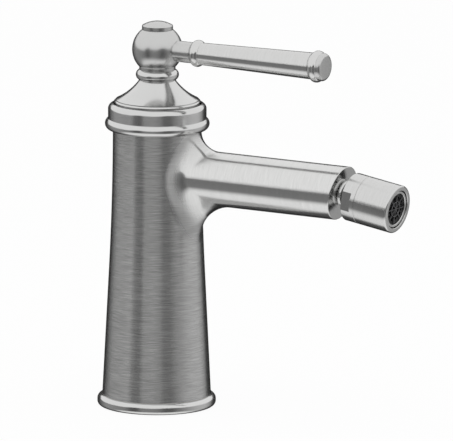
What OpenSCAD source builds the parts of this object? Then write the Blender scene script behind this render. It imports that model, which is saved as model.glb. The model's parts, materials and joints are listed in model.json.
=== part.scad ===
// Bidet mixer: tapered column, straight spout with a ball-joint nozzle, and a side lever on a ball.
// Millimetres. Z is up, the spout and the lever point along +X, the origin is the foot's centre.

/* [Foot] */
// outer radius of the foot ring
foot_r = 27; // [26:0.1:30]
// height of the foot ring
foot_h = 5.3; // [4.5:0.1:8]
// rounding of the foot ring's upper edge
foot_round = 2.3; // [1:0.1:2.4]
// rounding of the foot ring's lower edge
foot_low_round = 2; // [0.5:0.1:2]
// thickness of the foot ring's wall round the column's spigot
foot_wall = 5; // [4:0.1:6.5]
// thickness of the deck gasket
gasket_h = 1.5; // [1:0.1:2.5]
// distance of the deck gasket's rim from the foot ring's rim
gasket_inset = 3.5; // [2.5:0.1:5]
// width of the deck gasket from its bore to its rim
gasket_wall = 4.5; // [3:0.1:6]

/* [Column] */
// radius of the column just above the foot ring
column_base_r = 24.76; // [23.5:0.02:25]
// radius of the column under the collar
column_top_r = 20.2; // [20:0.05:21]
// height at which the straight taper turns into the long arc
column_taper_z = 64; // [40:1:80]
// height of the shoulder that carries the collar
column_top_z = 127.6; // [122:0.2:140]
// radius of the hollow under the column
hollow_r = 18.8; // [17.5:0.1:19.4]
// thickness of the web between the hollow and the cartridge seat
web_h = 16.8; // [12:0.2:20]

/* [Spout] */
// radius of the spout
spout_r = 12.3; // [11:0.1:13]
// height of the spout's axis
spout_z = 107.7; // [103:0.05:108]
// distance of the spout's end from the column's axis
spout_reach = 97.5; // [80:0.1:130]
// slant of the spout's end face, in degrees
spout_cut_deg = 11.5; // [0:0.5:20]
// radius of the waterway in the spout
spout_bore_r = 9.2; // [7:0.1:9.8]
// metal left between the waterway and the spout's end
spout_end_wall = 8.5; // [6:0.1:14]
// radius of the blend above the spout
blend_top_r = 11.7; // [8:0.1:13]
// radius of the blend below the spout
blend_low_r = 19; // [10:0.1:22]

/* [Nozzle joint] */
// height of the nipple over the middle of the spout's end face
nipple_rise = 0.35; // [0:0.05:1]
// radius of the nipple's thread
nipple_r = 4.9; // [4.2:0.1:5.4]
// length of the nipple's thread in the spout
nipple_thread_l = 9; // [6:0.1:11]
// outer radius of the nipple's round flange
nipple_flange_r = 6.05; // [5.6:0.05:7]
// thickness of the nipple's round flange
nipple_flange_h = 2.5; // [1.6:0.1:3]
// radius of the nipple's stem
nipple_stem_r = 3.9; // [3.4:0.1:4]
// radius of the waterway in the nipple
nipple_bore_r = 2.4; // [1.8:0.1:2.6]
// radius of the joint ball
joint_ball_r = 6.2; // [5.8:0.1:6.4]
// distance of the ball's centre from the spout's end
joint_out = 11.4; // [10.8:0.1:13]
// distance of the ball's flat front from its centre
ball_face = 5.4; // [5:0.1:5.6]
// thickness of the slip liner round the ball
liner_t = 1.2; // [0.8:0.1:1.3]
// reach of the slip liner behind and before the ball's centre
liner_half_l = 3.3; // [2:0.1:3.6]

/* [Nozzle] */
// droop of the nozzle as it rests, in degrees
nozzle_droop_deg = 8.8; // [0:0.1:16]
// radius of the nozzle
nozzle_r = 11.05; // [10.8:0.05:12]
// length of the rear collar that can be seen
swivel_l = 6.8; // [4.6:0.1:7.4]
// reach of the rear collar behind the ball's centre
swivel_back = 6.1; // [5.2:0.1:6.6]
// reach of the cup's lip behind the ball's centre
swivel_lip = 4.6; // [4.2:0.1:5]
// radius of the flared mouth behind the lip
swivel_mouth_r = 7.4; // [7:0.1:8.5]
// rounding of the rear collar's back edge
swivel_round = 0.4; // [0.3:0.1:2]
// distance across the two wrench flats
swivel_flats = 20.3; // [19:0.1:21.4]
// length of the wrench flats
swivel_flat_l = 4.7; // [2:0.1:5]
// radius of the thread between rear collar and housing
nozzle_thread_r = 9.3; // [9:0.05:9.6]
// length of that thread
nozzle_thread_l = 4.6; // [3:0.1:4.8]
// length of the housing
nozzle_l = 17.1; // [16:0.1:22]
// rounding of the outlet rim
outlet_round = 0.9; // [0.3:0.1:1]
// radius of the housing's bore at the outlet
outlet_bore_r = 8.75; // [8.6:0.05:9.6]
// outer radius of the outlet ring
outlet_ring_r = 8.4; // [8:0.05:9]
// wall of the outlet ring
outlet_ring_t = 1.2; // [0.8:0.1:1.5]
// distance of the outlet ring's face behind the rim
outlet_ring_sink = 0.6; // [0.2:0.1:1.2]
// distance of the honeycomb's face behind the ring's face
comb_sink = 0.9; // [0.3:0.1:2]
// height of the honeycomb insert
comb_h = 5.4; // [3:0.1:5.6]
// width of one honeycomb cell
comb_cell = 1.55; // [1.2:0.05:2.4]
// wall between two honeycomb cells
comb_wall = 0.35; // [0.25:0.05:0.6]
// thickness of the flow screen
screen_h = 0.5; // [0.3:0.1:0.8]
// thickness of the washer behind the insert
washer_h = 1.2; // [0.8:0.1:1.4]
// thickness of the seal before the ball
ball_seal_h = 1.5; // [1:0.1:1.6]

/* [Collar] */
// how far the collar's lower bead stands out from the band
bead_proud = 1.4; // [0.8:0.05:2.6]
// radius of the bead's round
bead_round = 2.8; // [2.4:0.1:3.6]
// wall of the collar round its mouth
collar_wall = 2.3; // [1.9:0.05:3]
// height of the collar
collar_h = 12.1; // [11:0.1:14]
// rounding of the collar's shoulder
shoulder_round = 2.6; // [1:0.1:2.8]
// radius of the threaded spigot inside the collar
collar_spigot_r = 19.3; // [19.1:0.05:19.5]
// height of that spigot
collar_spigot_h = 3.6; // [3:0.1:4.2]
// gap between the collar's mouth and the bell
mouth_gap = 0.35; // [0.3:0.05:0.5]
// thickness of the collar's O-ring
collar_ring_d = 0.9; // [0.7:0.05:0.9]
// height of the O-ring's groove over the collar's seat
collar_groove_z = 1; // [0.6:0.1:1.4]

/* [Handle] */
// height of the lever's pivot over the collar
pivot_over_collar = 0.9; // [0.3:0.1:2]
// radius of the bell's rim
bell_r = 19.75; // [19:0.05:19.8]
// height of the bell's rim over the pivot
bell_rim_h = 0.5; // [0.4:0.05:2.5]
// rounding of the bell's rim
bell_rim_round = 0.8; // [0.3:0.1:0.9]
// height of the bell over the pivot
bell_h = 9.8; // [9:0.1:12]
// radius of the bell's hollow sweep
bell_sweep_r = 28; // [12:0.5:40]
// height of the bell's hollow over the pivot
bell_ceiling = 0.3; // [0.2:0.05:0.8]
// wall of the bell's round skirt
skirt_t = 1.85; // [1.2:0.05:2.2]
// reach of the skirt below the pivot, as an angle
skirt_deg = 22.5; // [21:0.5:24]
// radius of the neck
neck_r = 8.25; // [7.5:0.05:8.6]
// outer radius of the neck bead
neck_bead_r = 9.8; // [9.2:0.05:11]
// height of the neck bead's piece
neck_bead_h = 5; // [4:0.1:6]
// radius of the neck bead's round
neck_bead_round = 2.6; // [1.6:0.1:2.8]
// radius of the handle's ball
ball_r = 11.5; // [11:0.1:13]
// height of the ball's centre over the neck bead
ball_rise = 9.15; // [8:0.05:11]
// radius of the cap on the ball
cap_r = 7.05; // [6:0.05:8]
// height of the cap's side
cap_h = 1.8; // [1:0.1:3]
// height of the cap's dome
cap_dome = 2; // [0.8:0.1:3]
// length of the cap's plug in the ball
cap_plug_h = 1.6; // [1:0.1:2]
// radius of the handle screw's head
screw_head_r = 4.3; // [3.8:0.1:4.6]
// height of the handle screw's head
screw_head_h = 2.8; // [2:0.1:3]
// play round the handle screw's head
screw_head_play = 0.7; // [0.4:0.05:0.9]
// metal between the spindle's top and the screw's seat
screw_seat_h = 2; // [1.4:0.1:3]
// radius of the handle screw's shank
screw_r = 2.5; // [2:0.1:2.8]
// length of the handle screw's shank
screw_l = 12; // [8:0.5:14]
// height of the spindle's top over the ball's centre
spindle_over_ball = 1.4; // [0.5:0.1:1.6]

/* [Lever] */
// radius of the lever's rod
rod_r = 4.8; // [4:0.1:5]
// step between the rod and its spigot in the ball
rod_step = 0.8; // [0.5:0.1:1.2]
// metal between the spindle and the rod's hole
rod_hole_wall = 1.4; // [1:0.1:2]
// distance of the grip collar from the axis
grip_collar_x = 19; // [16:0.1:24]
// length of the grip collar
grip_collar_l = 4.8; // [3.6:0.1:6]
// outer radius of the grip collar
grip_collar_r = 6.15; // [5.6:0.05:7]
// length of the grip
grip_l = 58.1; // [40:0.1:90]
// radius of the grip at its inner end
grip_r = 5.1; // [4.6:0.1:5.6]
// radius of the grip at its outer end
grip_end_r = 6.1; // [5.4:0.1:6.6]
// length of the end bead
end_bead_l = 4.5; // [3.4:0.1:6]
// outer radius of the end bead
end_bead_r = 7.26; // [6.8:0.02:8.5]
// radius of the end cap
end_cap_r = 6.4; // [5.4:0.1:6.6]
// length of the end cap
end_cap_l = 2.2; // [1.6:0.1:4]
// rounding of the end cap's edge
end_cap_round = 1.8; // [0.5:0.1:1.9]
// radius of the threaded studs inside the lever
stud_r = 3; // [2.4:0.1:3.2]
// length of the rod's stud in the grip
rod_stud_l = 22; // [10:1:26]
// length of the end cap's stud in the grip
cap_stud_l = 12; // [6:1:14]

/* [Cartridge] */
// lift of the lever from closed to fully open, in degrees
lift_deg = 20; // [10:1:20]
// distance from the pivot down to the driving ball
drive_arm = 12; // [11:0.1:12.5]
// radius of the driving ball on the spindle
drive_ball_r = 2.4; // [2:0.1:2.6]
// half width of the spindle's block
spindle_half = 4; // [3.6:0.1:4.2]
// reach of the spindle's block below the pivot
spindle_drop = 7.2; // [6.6:0.1:7.6]
// radius of the shank between block and driving ball
shank_r = 1.9; // [1.6:0.1:2.1]
// radius of the spindle's upper shaft
spindle_r = 4; // [3.4:0.1:4]
// radius of the pivot pin
pin_r = 1.5; // [1.2:0.05:1.8]
// radius of the turning carrier
carrier_r = 8.7; // [8.4:0.05:8.9]
// thickness of the carrier's flange
carrier_flange_h = 1.8; // [1.2:0.1:2.4]
// radius of the carrier's flange
carrier_flange_r = 13.2; // [12.6:0.1:13.3]
// height of the carrier over the pivot
carrier_top = 3.4; // [2.4:0.1:3.5]
// radius of the cartridge housing
housing_r = 17.3; // [16.9:0.05:17.4]
// radius of the housing above the nut's seat
housing_top_r = 14.8; // [14.6:0.05:15]
// radius of the housing's inside
housing_bore_r = 13.7; // [13.6:0.05:13.8]
// thickness of the housing's top plate
housing_plate_h = 2.6; // [2:0.1:3]
// radius of the housing's neck
housing_neck_r = 11; // [10.2:0.1:11]
// height of the housing's neck below the pivot
housing_neck_drop = 4.6; // [4.6:0.1:6]
// depth of the housing's top plate under the collar's seat
housing_drop = 1.2; // [0.8:0.1:2]
// height of the housing's narrow skirt over the base's flange
housing_skirt_h = 4; // [3:0.1:5]
// thickness of the driver's plate
driver_h = 3; // [2:0.1:4]
// wall of the driver's boss round the driving ball
boss_wall = 0.8; // [0.6:0.1:1]
// height of the boss over the driving ball's centre
boss_over_ball = 1; // [0.6:0.1:1.4]
// radius of the driver and the moving disc
moving_r = 10; // [9:0.1:10.6]
// thickness of the moving disc
moving_h = 3.6; // [3:0.1:4.5]
// depth of the mixing pocket in the moving disc
pocket_h = 2; // [1:0.1:2.4]
// radius of the fixed disc
fixed_r = 13.4; // [12.8:0.1:13.5]
// thickness of the fixed disc
fixed_h = 3.6; // [3:0.1:4.5]
// height of the cartridge base's spigot
base_spigot_h = 2; // [1:0.1:3]
// height of the cartridge base's flange
base_flange_h = 6.2; // [5:0.1:7]
// radius of the cartridge base's flange
base_flange_r = 15.2; // [14.6:0.1:15.4]
// radius of the mixed water's well in the cartridge base
outlet_r = 3; // [2.6:0.1:3.2]
// radius of the window from the well to the chamber
window_r = 2.2; // [1.8:0.1:2.4]
// depth of the well below the window
window_floor = 0.4; // [0.2:0.1:0.6]
// wall between a port and its O-ring
port_ring_wall = 0.3; // [0.2:0.05:0.4]
// radius of the cartridge nut's thread
nut_r = 17.8; // [17.5:0.05:17.9]
// height of the cartridge nut
nut_h = 4.7; // [3:0.1:4.9]
// height of the nut's top over the housing's plate
nut_over_plate = 0.4; // [0.2:0.1:0.6]

/* [Inlets] */
// distance of the water ports in front of the axis
port_x = 2.5; // [2:0.1:3]
// distance of the water ports to each side of the axis
port_y = 6; // [5.9:0.05:6.2]
// radius of the water ports
port_r = 2.3; // [2:0.1:2.4]
// wall radius of the inlet threads
inlet_thread_r = 4.5; // [4.2:0.05:4.7]
// length of the inlet threads
inlet_thread_l = 9.5; // [7:0.5:12]
// wall radius of the fixing-stud thread
stud_hole_r = 3.4; // [2.6:0.1:4]
// distance of the fixing-stud thread behind the axis
stud_hole_x = 10; // [9.6:0.1:12]
// height of the inlet block over the deck
block_z = 22; // [14:0.5:40]
// height of the inlet block
block_h = 14; // [13:0.5:20]
// radius of the copper tubes
pipe_r = 4; // [3.4:0.1:4.2]
// wall of the copper tubes
pipe_t = 1; // [0.6:0.1:1.2]
// depth of the tubes' sockets
pipe_socket_h = 3.5; // [2.5:0.1:3.6]
// thickness of the retaining clip
clip_h = 1.5; // [1:0.1:2]
// depth of the clip's groove
clip_groove = 0.8; // [0.4:0.1:1.2]
// radial width of the retaining clip
clip_w = 2.2; // [1.5:0.1:3]

/* [Fits] */
// radial play of turning and threaded pieces
slip = 0.1; // [0.05:0.01:0.1]
// play of the pivot pin
pin_play = 0.05; // [0.02:0.01:0.1]
// gap between seated faces
seat_gap = 0.05; // [0.02:0.01:0.1]
// gap between pieces that move past each other
free_gap = 0.3; // [0.3:0.05:0.4]
// thickness of the small O-rings
o_ring_d = 1; // [0.8:0.05:1.1]

/* [Parts] */
// sub-part to draw

/* [Hidden] */
$fn = 96;
cut = 1;
small_fn = 48;
arc_fn = 2400;
foot_spigot_r = foot_r - foot_wall;
gasket_r = foot_r - gasket_inset;
gasket_bore_r = gasket_r - gasket_wall;

// Column: a straight taper that runs into a long arc, upright under the collar.
arc_h = column_top_z - column_taper_z;
taper = (column_base_r - column_top_r) / (column_taper_z - foot_h + arc_h / 2);
taper_top_r = column_base_r - taper * (column_taper_z - foot_h);
arc_d = taper_top_r - column_top_r;
arc_r = (arc_h * arc_h + arc_d * arc_d) / (2 * arc_d);

// Collar and handle, upward from the column's shoulder.
collar_top_z = column_top_z + collar_h;
shoulder_z = collar_top_z - shoulder_round;
mouth_r = bell_r + mouth_gap;
band_r = mouth_r + collar_wall;
bead_r = band_r + bead_proud;
spigot_top_z = column_top_z + collar_spigot_h;
pivot_z = collar_top_z + pivot_over_collar;
neck_z = pivot_z + bell_h;
bead_top_z = neck_z + neck_bead_h;
ball_z = bead_top_z + ball_rise;
cap_z = ball_z + sqrt(ball_r * ball_r - cap_r * cap_r);
spindle_top_z = ball_z + spindle_over_ball;
screw_seat_z = spindle_top_z + screw_seat_h;
screw_pocket_r = screw_head_r + screw_head_play;
rim_z = pivot_z + bell_rim_h;
sweep_dx = bell_r - neck_r;
sweep_dz = rim_z - neck_z;
sweep_chord = sqrt(sweep_dx * sweep_dx + sweep_dz * sweep_dz);
sweep_h = sqrt(bell_sweep_r * bell_sweep_r - sweep_chord * sweep_chord / 4);
sweep_x = (bell_r + neck_r) / 2 - sweep_h * sweep_dz / sweep_chord;
sweep_z = (rim_z + neck_z) / 2 + sweep_h * sweep_dx / sweep_chord;
bell_inner_r = sqrt(carrier_r * carrier_r + carrier_top * carrier_top) + free_gap + slip;

// Cartridge, downward from the collar's seat.
plate_top_z = column_top_z - housing_drop;
plate_z = plate_top_z - housing_plate_h;
flange_z = plate_z - free_gap - carrier_flange_h;
driver_z = flange_z - free_gap - driver_h;
moving_z = driver_z - moving_h;
fixed_z = moving_z - slip - fixed_h;
base_top_z = fixed_z - seat_gap;
base_flange_z = base_top_z - base_spigot_h;
base_z = base_flange_z - base_flange_h;
seat_z = base_z - seat_gap;
web_z = seat_z - web_h;
nut_z = plate_top_z + nut_over_plate - nut_h;
chamber_r = housing_r + free_gap;
nut_bore_r = nut_r + slip;
neck_top_z = pivot_z - housing_neck_drop;
neck_bore_r = carrier_r + slip;
travel = drive_arm * sin(lift_deg);
drive_z = pivot_z - drive_arm;
boss_half_y = spindle_half - slip;
boss_half_x = drive_ball_r + free_gap + boss_wall;
slot_half = spindle_half + free_gap;
housing_skirt_z = base_flange_z + housing_skirt_h;
housing_ring_z = (housing_skirt_z + nut_z) / 2;

// Inlets, upward from the deck.
block_top_z = block_z + block_h;
block_r = hollow_r - slip;
pipe_z = block_top_z - pipe_socket_h;
pipe_top_z = web_z + pipe_socket_h;
pipe_bore_r = pipe_r + slip / 2;
pipe_ring_r = pipe_bore_r + o_ring_d / 2;

// Spout's end and nozzle.
end_x = spout_reach + nipple_rise * sin(spout_cut_deg);
end_z = spout_z + nipple_rise * cos(spout_cut_deg);
joint_x = end_x + joint_out * cos(spout_cut_deg);
joint_z = end_z - joint_out * sin(spout_cut_deg);
liner_r = joint_ball_r + free_gap;
cup_r = liner_r + liner_t + free_gap;
lip_r = sqrt(cup_r * cup_r - swivel_lip * swivel_lip);
mouth_flare = (swivel_mouth_r - lip_r) / (swivel_back - swivel_lip);
swivel_front = swivel_l - swivel_back;
housing_back = swivel_front + seat_gap;
rim_face = housing_back + nozzle_l;
ring_face = rim_face - outlet_ring_sink;
comb_face = ring_face - comb_sink;
comb_back = comb_face - comb_h;
screen_back = comb_back - seat_gap - screen_h;
washer_back = screen_back - seat_gap - washer_h;
ball_seal_back = joint_ball_r + free_gap + slip;
comb_r = outlet_ring_r - outlet_ring_t - slip;

// Lever, outward from the ball.
rod_seat_r = rod_r + 2 * slip;
rod_x = sqrt(ball_r * ball_r - rod_seat_r * rod_seat_r);
rod_hole_r = rod_r - rod_step;
rod_hole_x = spindle_r + slip + rod_hole_wall;
grip_x = grip_collar_x + grip_collar_l;
end_bead_x = grip_x + grip_l;
end_cap_x = end_bead_x + end_bead_l;

brass = [0.72, 0.70, 0.66];
nickel = [0.62, 0.62, 0.61];
copper = [0.75, 0.45, 0.30];
rubber = [0.12, 0.12, 0.12];
ceramic = [0.93, 0.92, 0.88];
white_plastic = [0.85, 0.85, 0.82];
black_plastic = [0.06, 0.06, 0.07];
steel = [0.55, 0.56, 0.58];

// Shared shapes

module rect(r0, r1, z0, z1) {
    translate([r0, z0])
        square([r1 - r0, z1 - z0]);
}

module disc(r, z0, z1) {
    translate([0, 0, z0])
        cylinder(r = r, h = z1 - z0);
}

module o_ring(centre_r, d, z) {
    translate([0, 0, z])
        rotate_extrude()
            translate([centre_r, 0])
                circle(d = d, $fn = small_fn);
}

module at_ports() {
    for (side = [-1, 1])
        translate([port_x, side * port_y, 0])
            children();
}

module along_lever() {
    translate([0, 0, ball_z])
        rotate([0, 90, 0])
            children();
}

module at_spout_end() {
    translate([end_x, 0, end_z])
        rotate([0, 90 + spout_cut_deg, 0])
            children();
}

module at_nozzle() {
    translate([joint_x, 0, joint_z])
        rotate([0, 90 + nozzle_droop_deg, 0])
            children();
}

// Column, spout and the blend between them

function column_r(z) = z < column_taper_z
    ? column_base_r - taper * (z - foot_h)
    : column_top_r + arc_r - sqrt(arc_r * arc_r - pow(column_top_z - min(z, column_top_z), 2));

blend_sink = 0.08;
blend_root = 3;
blend_turns = 72;
blend_steps = 10;

function blend_r(a) = blend_top_r + (blend_low_r - blend_top_r) * (1 - cos(a)) / 2;

// One cross-section of the blend: an arc between spout and column, closed inside the metal.
function blend_section(a) =
    let (
        r = blend_r(a),
        off = spout_r - blend_sink + r,
        y = off * sin(a),
        z = spout_z + off * cos(a),
        wall = column_r(z) - blend_sink,
        x = sqrt(pow(wall + r, 2) - y * y),
        to_spout = [0, -sin(a), -cos(a)],
        to_column = [-x, -y, 0] / (wall + r),
        turn = acos(to_spout * to_column),
        on_column = [x, y, z] + r * to_column,
        sunk = [on_column.x, on_column.y, 0] * (1 - blend_root / wall) + [0, 0, z],
        deep_y = (spout_r - blend_root) * sin(a),
        deep_z = spout_z + (spout_r - blend_root) * cos(a)
    )
    concat(
        [for (i = [0 : blend_steps])
            [x, y, z] + r * (sin((1 - i / blend_steps) * turn) * to_spout
                + sin(i / blend_steps * turn) * to_column) / sin(turn)],
        [sunk, [sunk.x, deep_y, deep_z], [x, deep_y, deep_z]]
    );

module spout_blend() {
    n = blend_steps + 4;
    points = [for (k = [0 : blend_turns - 1]) each blend_section(k * 360 / blend_turns)];
    faces = [
        for (k = [0 : blend_turns - 1], i = [0 : n - 1])
            let (
                a = k * n + i,
                b = k * n + (i + 1) % n,
                c = ((k + 1) % blend_turns) * n + (i + 1) % n,
                d = ((k + 1) % blend_turns) * n + i
            )
            each [[a, b, c], [a, c, d]]
    ];
    polyhedron(points, faces);
}

module column_outside() {
    rotate_extrude()
        difference() {
            polygon([
                [0, foot_h],
                [column_base_r, foot_h],
                [taper_top_r, column_taper_z],
                [taper_top_r, column_top_z],
                [0, column_top_z]
            ]);
            translate([column_top_r + arc_r, column_top_z])
                circle(r = arc_r, $fn = arc_fn);
        }
}

module spout_outside() {
    difference() {
        translate([0, 0, spout_z])
            rotate([0, 90, 0])
                cylinder(r = spout_r, h = spout_reach + spout_r);
        at_spout_end()
            translate([-2 * spout_r, -2 * spout_r, 0])
                cube(4 * spout_r);
    }
}

module body_hollows() {
    disc(hollow_r, 0, web_z);
    disc(hollow_r + clip_groove, block_z - seat_gap - clip_h - slip, block_z - seat_gap + slip);
    disc(chamber_r, seat_z, nut_z);
    disc(nut_bore_r, nut_z - slip, spigot_top_z + cut);
    translate([housing_top_r, 0, spout_z])
        rotate([0, 90, 0])
            cylinder(r = spout_bore_r, h = spout_reach - spout_end_wall - housing_top_r);
    at_spout_end()
        disc(nipple_r + slip, -nipple_thread_l - spout_end_wall / 2, cut);
    at_ports() {
        disc(port_r, web_z, seat_z + cut);
        disc(pipe_bore_r, web_z - cut, pipe_top_z);
        disc(pipe_ring_r + o_ring_d / 2 + slip, web_z - cut, web_z + o_ring_d + slip);
    }
}

module collar_groove() {
    rotate_extrude()
        rect(collar_spigot_r + slip - collar_ring_d - 2 * seat_gap, collar_spigot_r + cut,
            column_top_z + collar_groove_z, column_top_z + collar_groove_z + collar_ring_d + slip);
}

module body_casting() {
    color(nickel)
        difference() {
            union() {
                difference() {
                    union() {
                        column_outside();
                        spout_outside();
                        spout_blend();
                    }
                    disc(3 * column_top_r, column_top_z, column_top_z + 2 * spout_r);
                }
                disc(foot_spigot_r, gasket_h + seat_gap, foot_h + cut);
                disc(collar_spigot_r, column_top_z - cut, spigot_top_z);
            }
            body_hollows();
            collar_groove();
        }
}

// Foot

module base_ring() {
    bore = foot_spigot_r + slip;
    color(nickel)
        rotate_extrude()
            difference() {
                union() {
                    rect(bore, foot_r - foot_round, foot_low_round, foot_h - seat_gap);
                    rect(bore, foot_r, foot_low_round, foot_h - seat_gap - foot_round);
                    rect(bore, foot_r - foot_low_round, 0, foot_low_round);
                    translate([foot_r - foot_round, foot_h - seat_gap - foot_round])
                        circle(r = foot_round);
                    translate([foot_r - foot_low_round, foot_low_round])
                        circle(r = foot_low_round);
                }
                rect(0, bore, -cut, foot_h);
                rect(0, gasket_r + slip, -cut, gasket_h + seat_gap);
            }
}

module base_seal() {
    color(rubber)
        rotate_extrude()
            rect(gasket_bore_r, gasket_r, 0, gasket_h);
}

// Inlets

module inlet_block() {
    color(brass)
        difference() {
            disc(block_r, block_z, block_top_z);
            at_ports() {
                disc(inlet_thread_r, block_z - cut, block_z + inlet_thread_l);
                disc(pipe_r - pipe_t, block_z, block_top_z);
                disc(pipe_bore_r, pipe_z - seat_gap, block_top_z + cut);
                disc(pipe_ring_r + o_ring_d / 2 + slip, block_top_z - o_ring_d - slip, block_top_z + cut);
            }
            translate([-stud_hole_x, 0, 0])
                disc(stud_hole_r, block_z - cut, block_top_z + cut);
        }
}

module retaining_clip() {
    clip_r = hollow_r + clip_groove - slip;
    color(steel)
        difference() {
            disc(clip_r, block_z - seat_gap - clip_h, block_z - seat_gap);
            disc(clip_r - clip_w, block_z - clip_h - cut, block_z + cut);
            translate([clip_r - clip_w / 2, 0, block_z])
                cube([2 * clip_w, 4 * clip_w, 4 * clip_h], center = true);
        }
}

module copper_tube(side) {
    translate([port_x, side * port_y, 0])
        difference() {
            disc(pipe_r, pipe_z, pipe_top_z - seat_gap);
            disc(pipe_r - pipe_t, pipe_z - cut, pipe_top_z + cut);
        }
}

module hot_tube() {
    color(copper)
        copper_tube(-1);
}

module cold_tube() {
    color(copper)
        copper_tube(1);
}

module tube_seals() {
    color(rubber)
        at_ports() {
            o_ring(pipe_ring_r, o_ring_d, block_top_z - o_ring_d / 2);
            o_ring(pipe_ring_r, o_ring_d, web_z + o_ring_d / 2);
        }
}

// Cartridge

outlet_x = -(moving_r / 2);
port_ring_r = port_r + o_ring_d / 2 + port_ring_wall;

module cartridge_base() {
    color(white_plastic)
        difference() {
            union() {
                disc(base_flange_r, base_z, base_flange_z);
                disc(housing_bore_r - slip, base_flange_z - cut, base_top_z);
            }
            at_ports() {
                disc(port_r, base_z - cut, base_top_z + cut);
                disc(port_ring_r + o_ring_d / 2 + slip, base_z - cut, base_z + o_ring_d + seat_gap);
            }
            translate([outlet_x, 0, 0])
                disc(outlet_r, base_flange_z - base_flange_h / 2 - window_r - window_floor, base_top_z + cut);
            translate([outlet_x, 0, base_flange_z - base_flange_h / 2])
                rotate([0, -90, 0])
                    cylinder(r = window_r, h = base_flange_r);
        }
}

module port_seals() {
    color(rubber)
        at_ports()
            o_ring(port_ring_r, o_ring_d, base_z + o_ring_d / 2);
}

module cartridge_housing() {
    color(white_plastic)
        difference() {
            union() {
                disc(base_flange_r, base_flange_z + seat_gap, housing_skirt_z + cut);
                disc(housing_r, housing_skirt_z, nut_z - seat_gap);
                disc(housing_top_r, nut_z - cut, plate_top_z);
                disc(housing_neck_r, plate_top_z - cut, neck_top_z);
            }
            disc(housing_bore_r, base_flange_z - cut, plate_z);
            disc(neck_bore_r, plate_z - cut, neck_top_z + cut);
            rotate_extrude()
                rect(housing_r - o_ring_d, housing_r + cut,
                    housing_ring_z - o_ring_d / 2 - slip, housing_ring_z + o_ring_d / 2 + slip);
        }
}

module housing_seal() {
    color(rubber)
        o_ring(housing_r - o_ring_d / 2 + slip, o_ring_d, housing_ring_z);
}

module fixed_disc() {
    color(ceramic)
        difference() {
            disc(fixed_r, fixed_z, fixed_z + fixed_h);
            at_ports()
                disc(port_r, fixed_z - cut, fixed_z + fixed_h + cut);
            translate([outlet_x, 0, 0])
                disc(outlet_r, fixed_z - cut, fixed_z + fixed_h + cut);
        }
}

module cartridge_nut() {
    slots = 4;
    slot_w = 2.4;
    color(brass)
        difference() {
            disc(nut_r, nut_z, nut_z + nut_h);
            disc(housing_top_r + slip, nut_z - cut, nut_z + nut_h + cut);
            for (k = [0 : slots - 1])
                rotate([0, 0, 45 + k * 360 / slots])
                    translate([housing_top_r, -slot_w / 2, nut_z + nut_h / 2])
                        cube([nut_r, slot_w, nut_h]);
        }
}

module disc_outline(z0, z1) {
    translate([-travel / 2, 0, 0])
        disc(moving_r, z0, z1);
}

module moving_disc() {
    color(ceramic)
        difference() {
            disc_outline(moving_z, moving_z + moving_h);
            translate([-travel, 0, 0])
                disc(moving_r / 2 + slip, moving_z - cut, moving_z + pocket_h);
        }
}

module disc_driver() {
    boss_top_z = drive_z + boss_over_ball;
    color(black_plastic)
        difference() {
            union() {
                disc_outline(driver_z, driver_z + driver_h);
                translate([-boss_half_x, -boss_half_y, driver_z])
                    cube([2 * boss_half_x, 2 * boss_half_y, boss_top_z - driver_z]);
            }
            disc(drive_ball_r + free_gap, drive_z - drive_ball_r - free_gap, boss_top_z + cut);
        }
}

module spindle_carrier() {
    color(black_plastic)
        difference() {
            union() {
                disc(carrier_flange_r, flange_z, flange_z + carrier_flange_h);
                disc(carrier_r, flange_z, pivot_z + carrier_top);
            }
            translate([-carrier_flange_r, -slot_half, flange_z + carrier_flange_h])
                cube([2 * carrier_flange_r, 2 * slot_half, pivot_z]);
            translate([-boss_half_x - free_gap, -slot_half, flange_z - cut])
                cube([2 * boss_half_x + travel + 2 * free_gap, 2 * slot_half, pivot_z]);
            translate([0, 0, pivot_z])
                rotate([90, 0, 0])
                    cylinder(r = pin_r + pin_play / 2, h = 3 * carrier_r, center = true, $fn = small_fn);
        }
}

module pivot_pin() {
    pin_half = sqrt(carrier_r * carrier_r - pin_r * pin_r) - slip;
    color(steel)
        translate([0, 0, pivot_z])
            rotate([90, 0, 0])
                cylinder(r = pin_r, h = 2 * pin_half, center = true, $fn = small_fn);
}

// Handle and lever

module spindle() {
    block_low_z = pivot_z - spindle_drop;
    color(steel)
        difference() {
            union() {
                translate([0, 0, drive_z])
                    sphere(r = drive_ball_r);
                disc(shank_r, drive_z, block_low_z + cut);
                translate([-spindle_half, -spindle_half, block_low_z])
                    cube([2 * spindle_half, 2 * spindle_half, pivot_z + bell_inner_r / 2 - block_low_z]);
                disc(spindle_r, pivot_z, spindle_top_z);
            }
            translate([0, 0, pivot_z])
                rotate([90, 0, 0])
                    cylinder(r = pin_r + pin_play, h = 4 * spindle_half, center = true, $fn = small_fn);
            disc(screw_r + seat_gap, screw_seat_z - screw_l - cut, spindle_top_z + cut);
        }
}

module bell_profile() {
    intersection() {
        union() {
            difference() {
                rect(0, bell_r, pivot_z - bell_r, neck_z);
                translate([sweep_x, sweep_z])
                    circle(r = bell_sweep_r, $fn = 2 * $fn);
                rect(bell_r - bell_rim_round, bell_r + cut, rim_z - bell_rim_round, neck_z + cut);
            }
            translate([bell_r - bell_rim_round, rim_z - bell_rim_round])
                circle(r = bell_rim_round);
        }
        union() {
            translate([0, pivot_z])
                circle(r = bell_r, $fn = 2 * $fn);
            rect(0, bell_r + cut, pivot_z, neck_z + cut);
        }
        rect(0, bell_r + cut, pivot_z - bell_r * sin(skirt_deg), neck_z + cut);
    }
}

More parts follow.
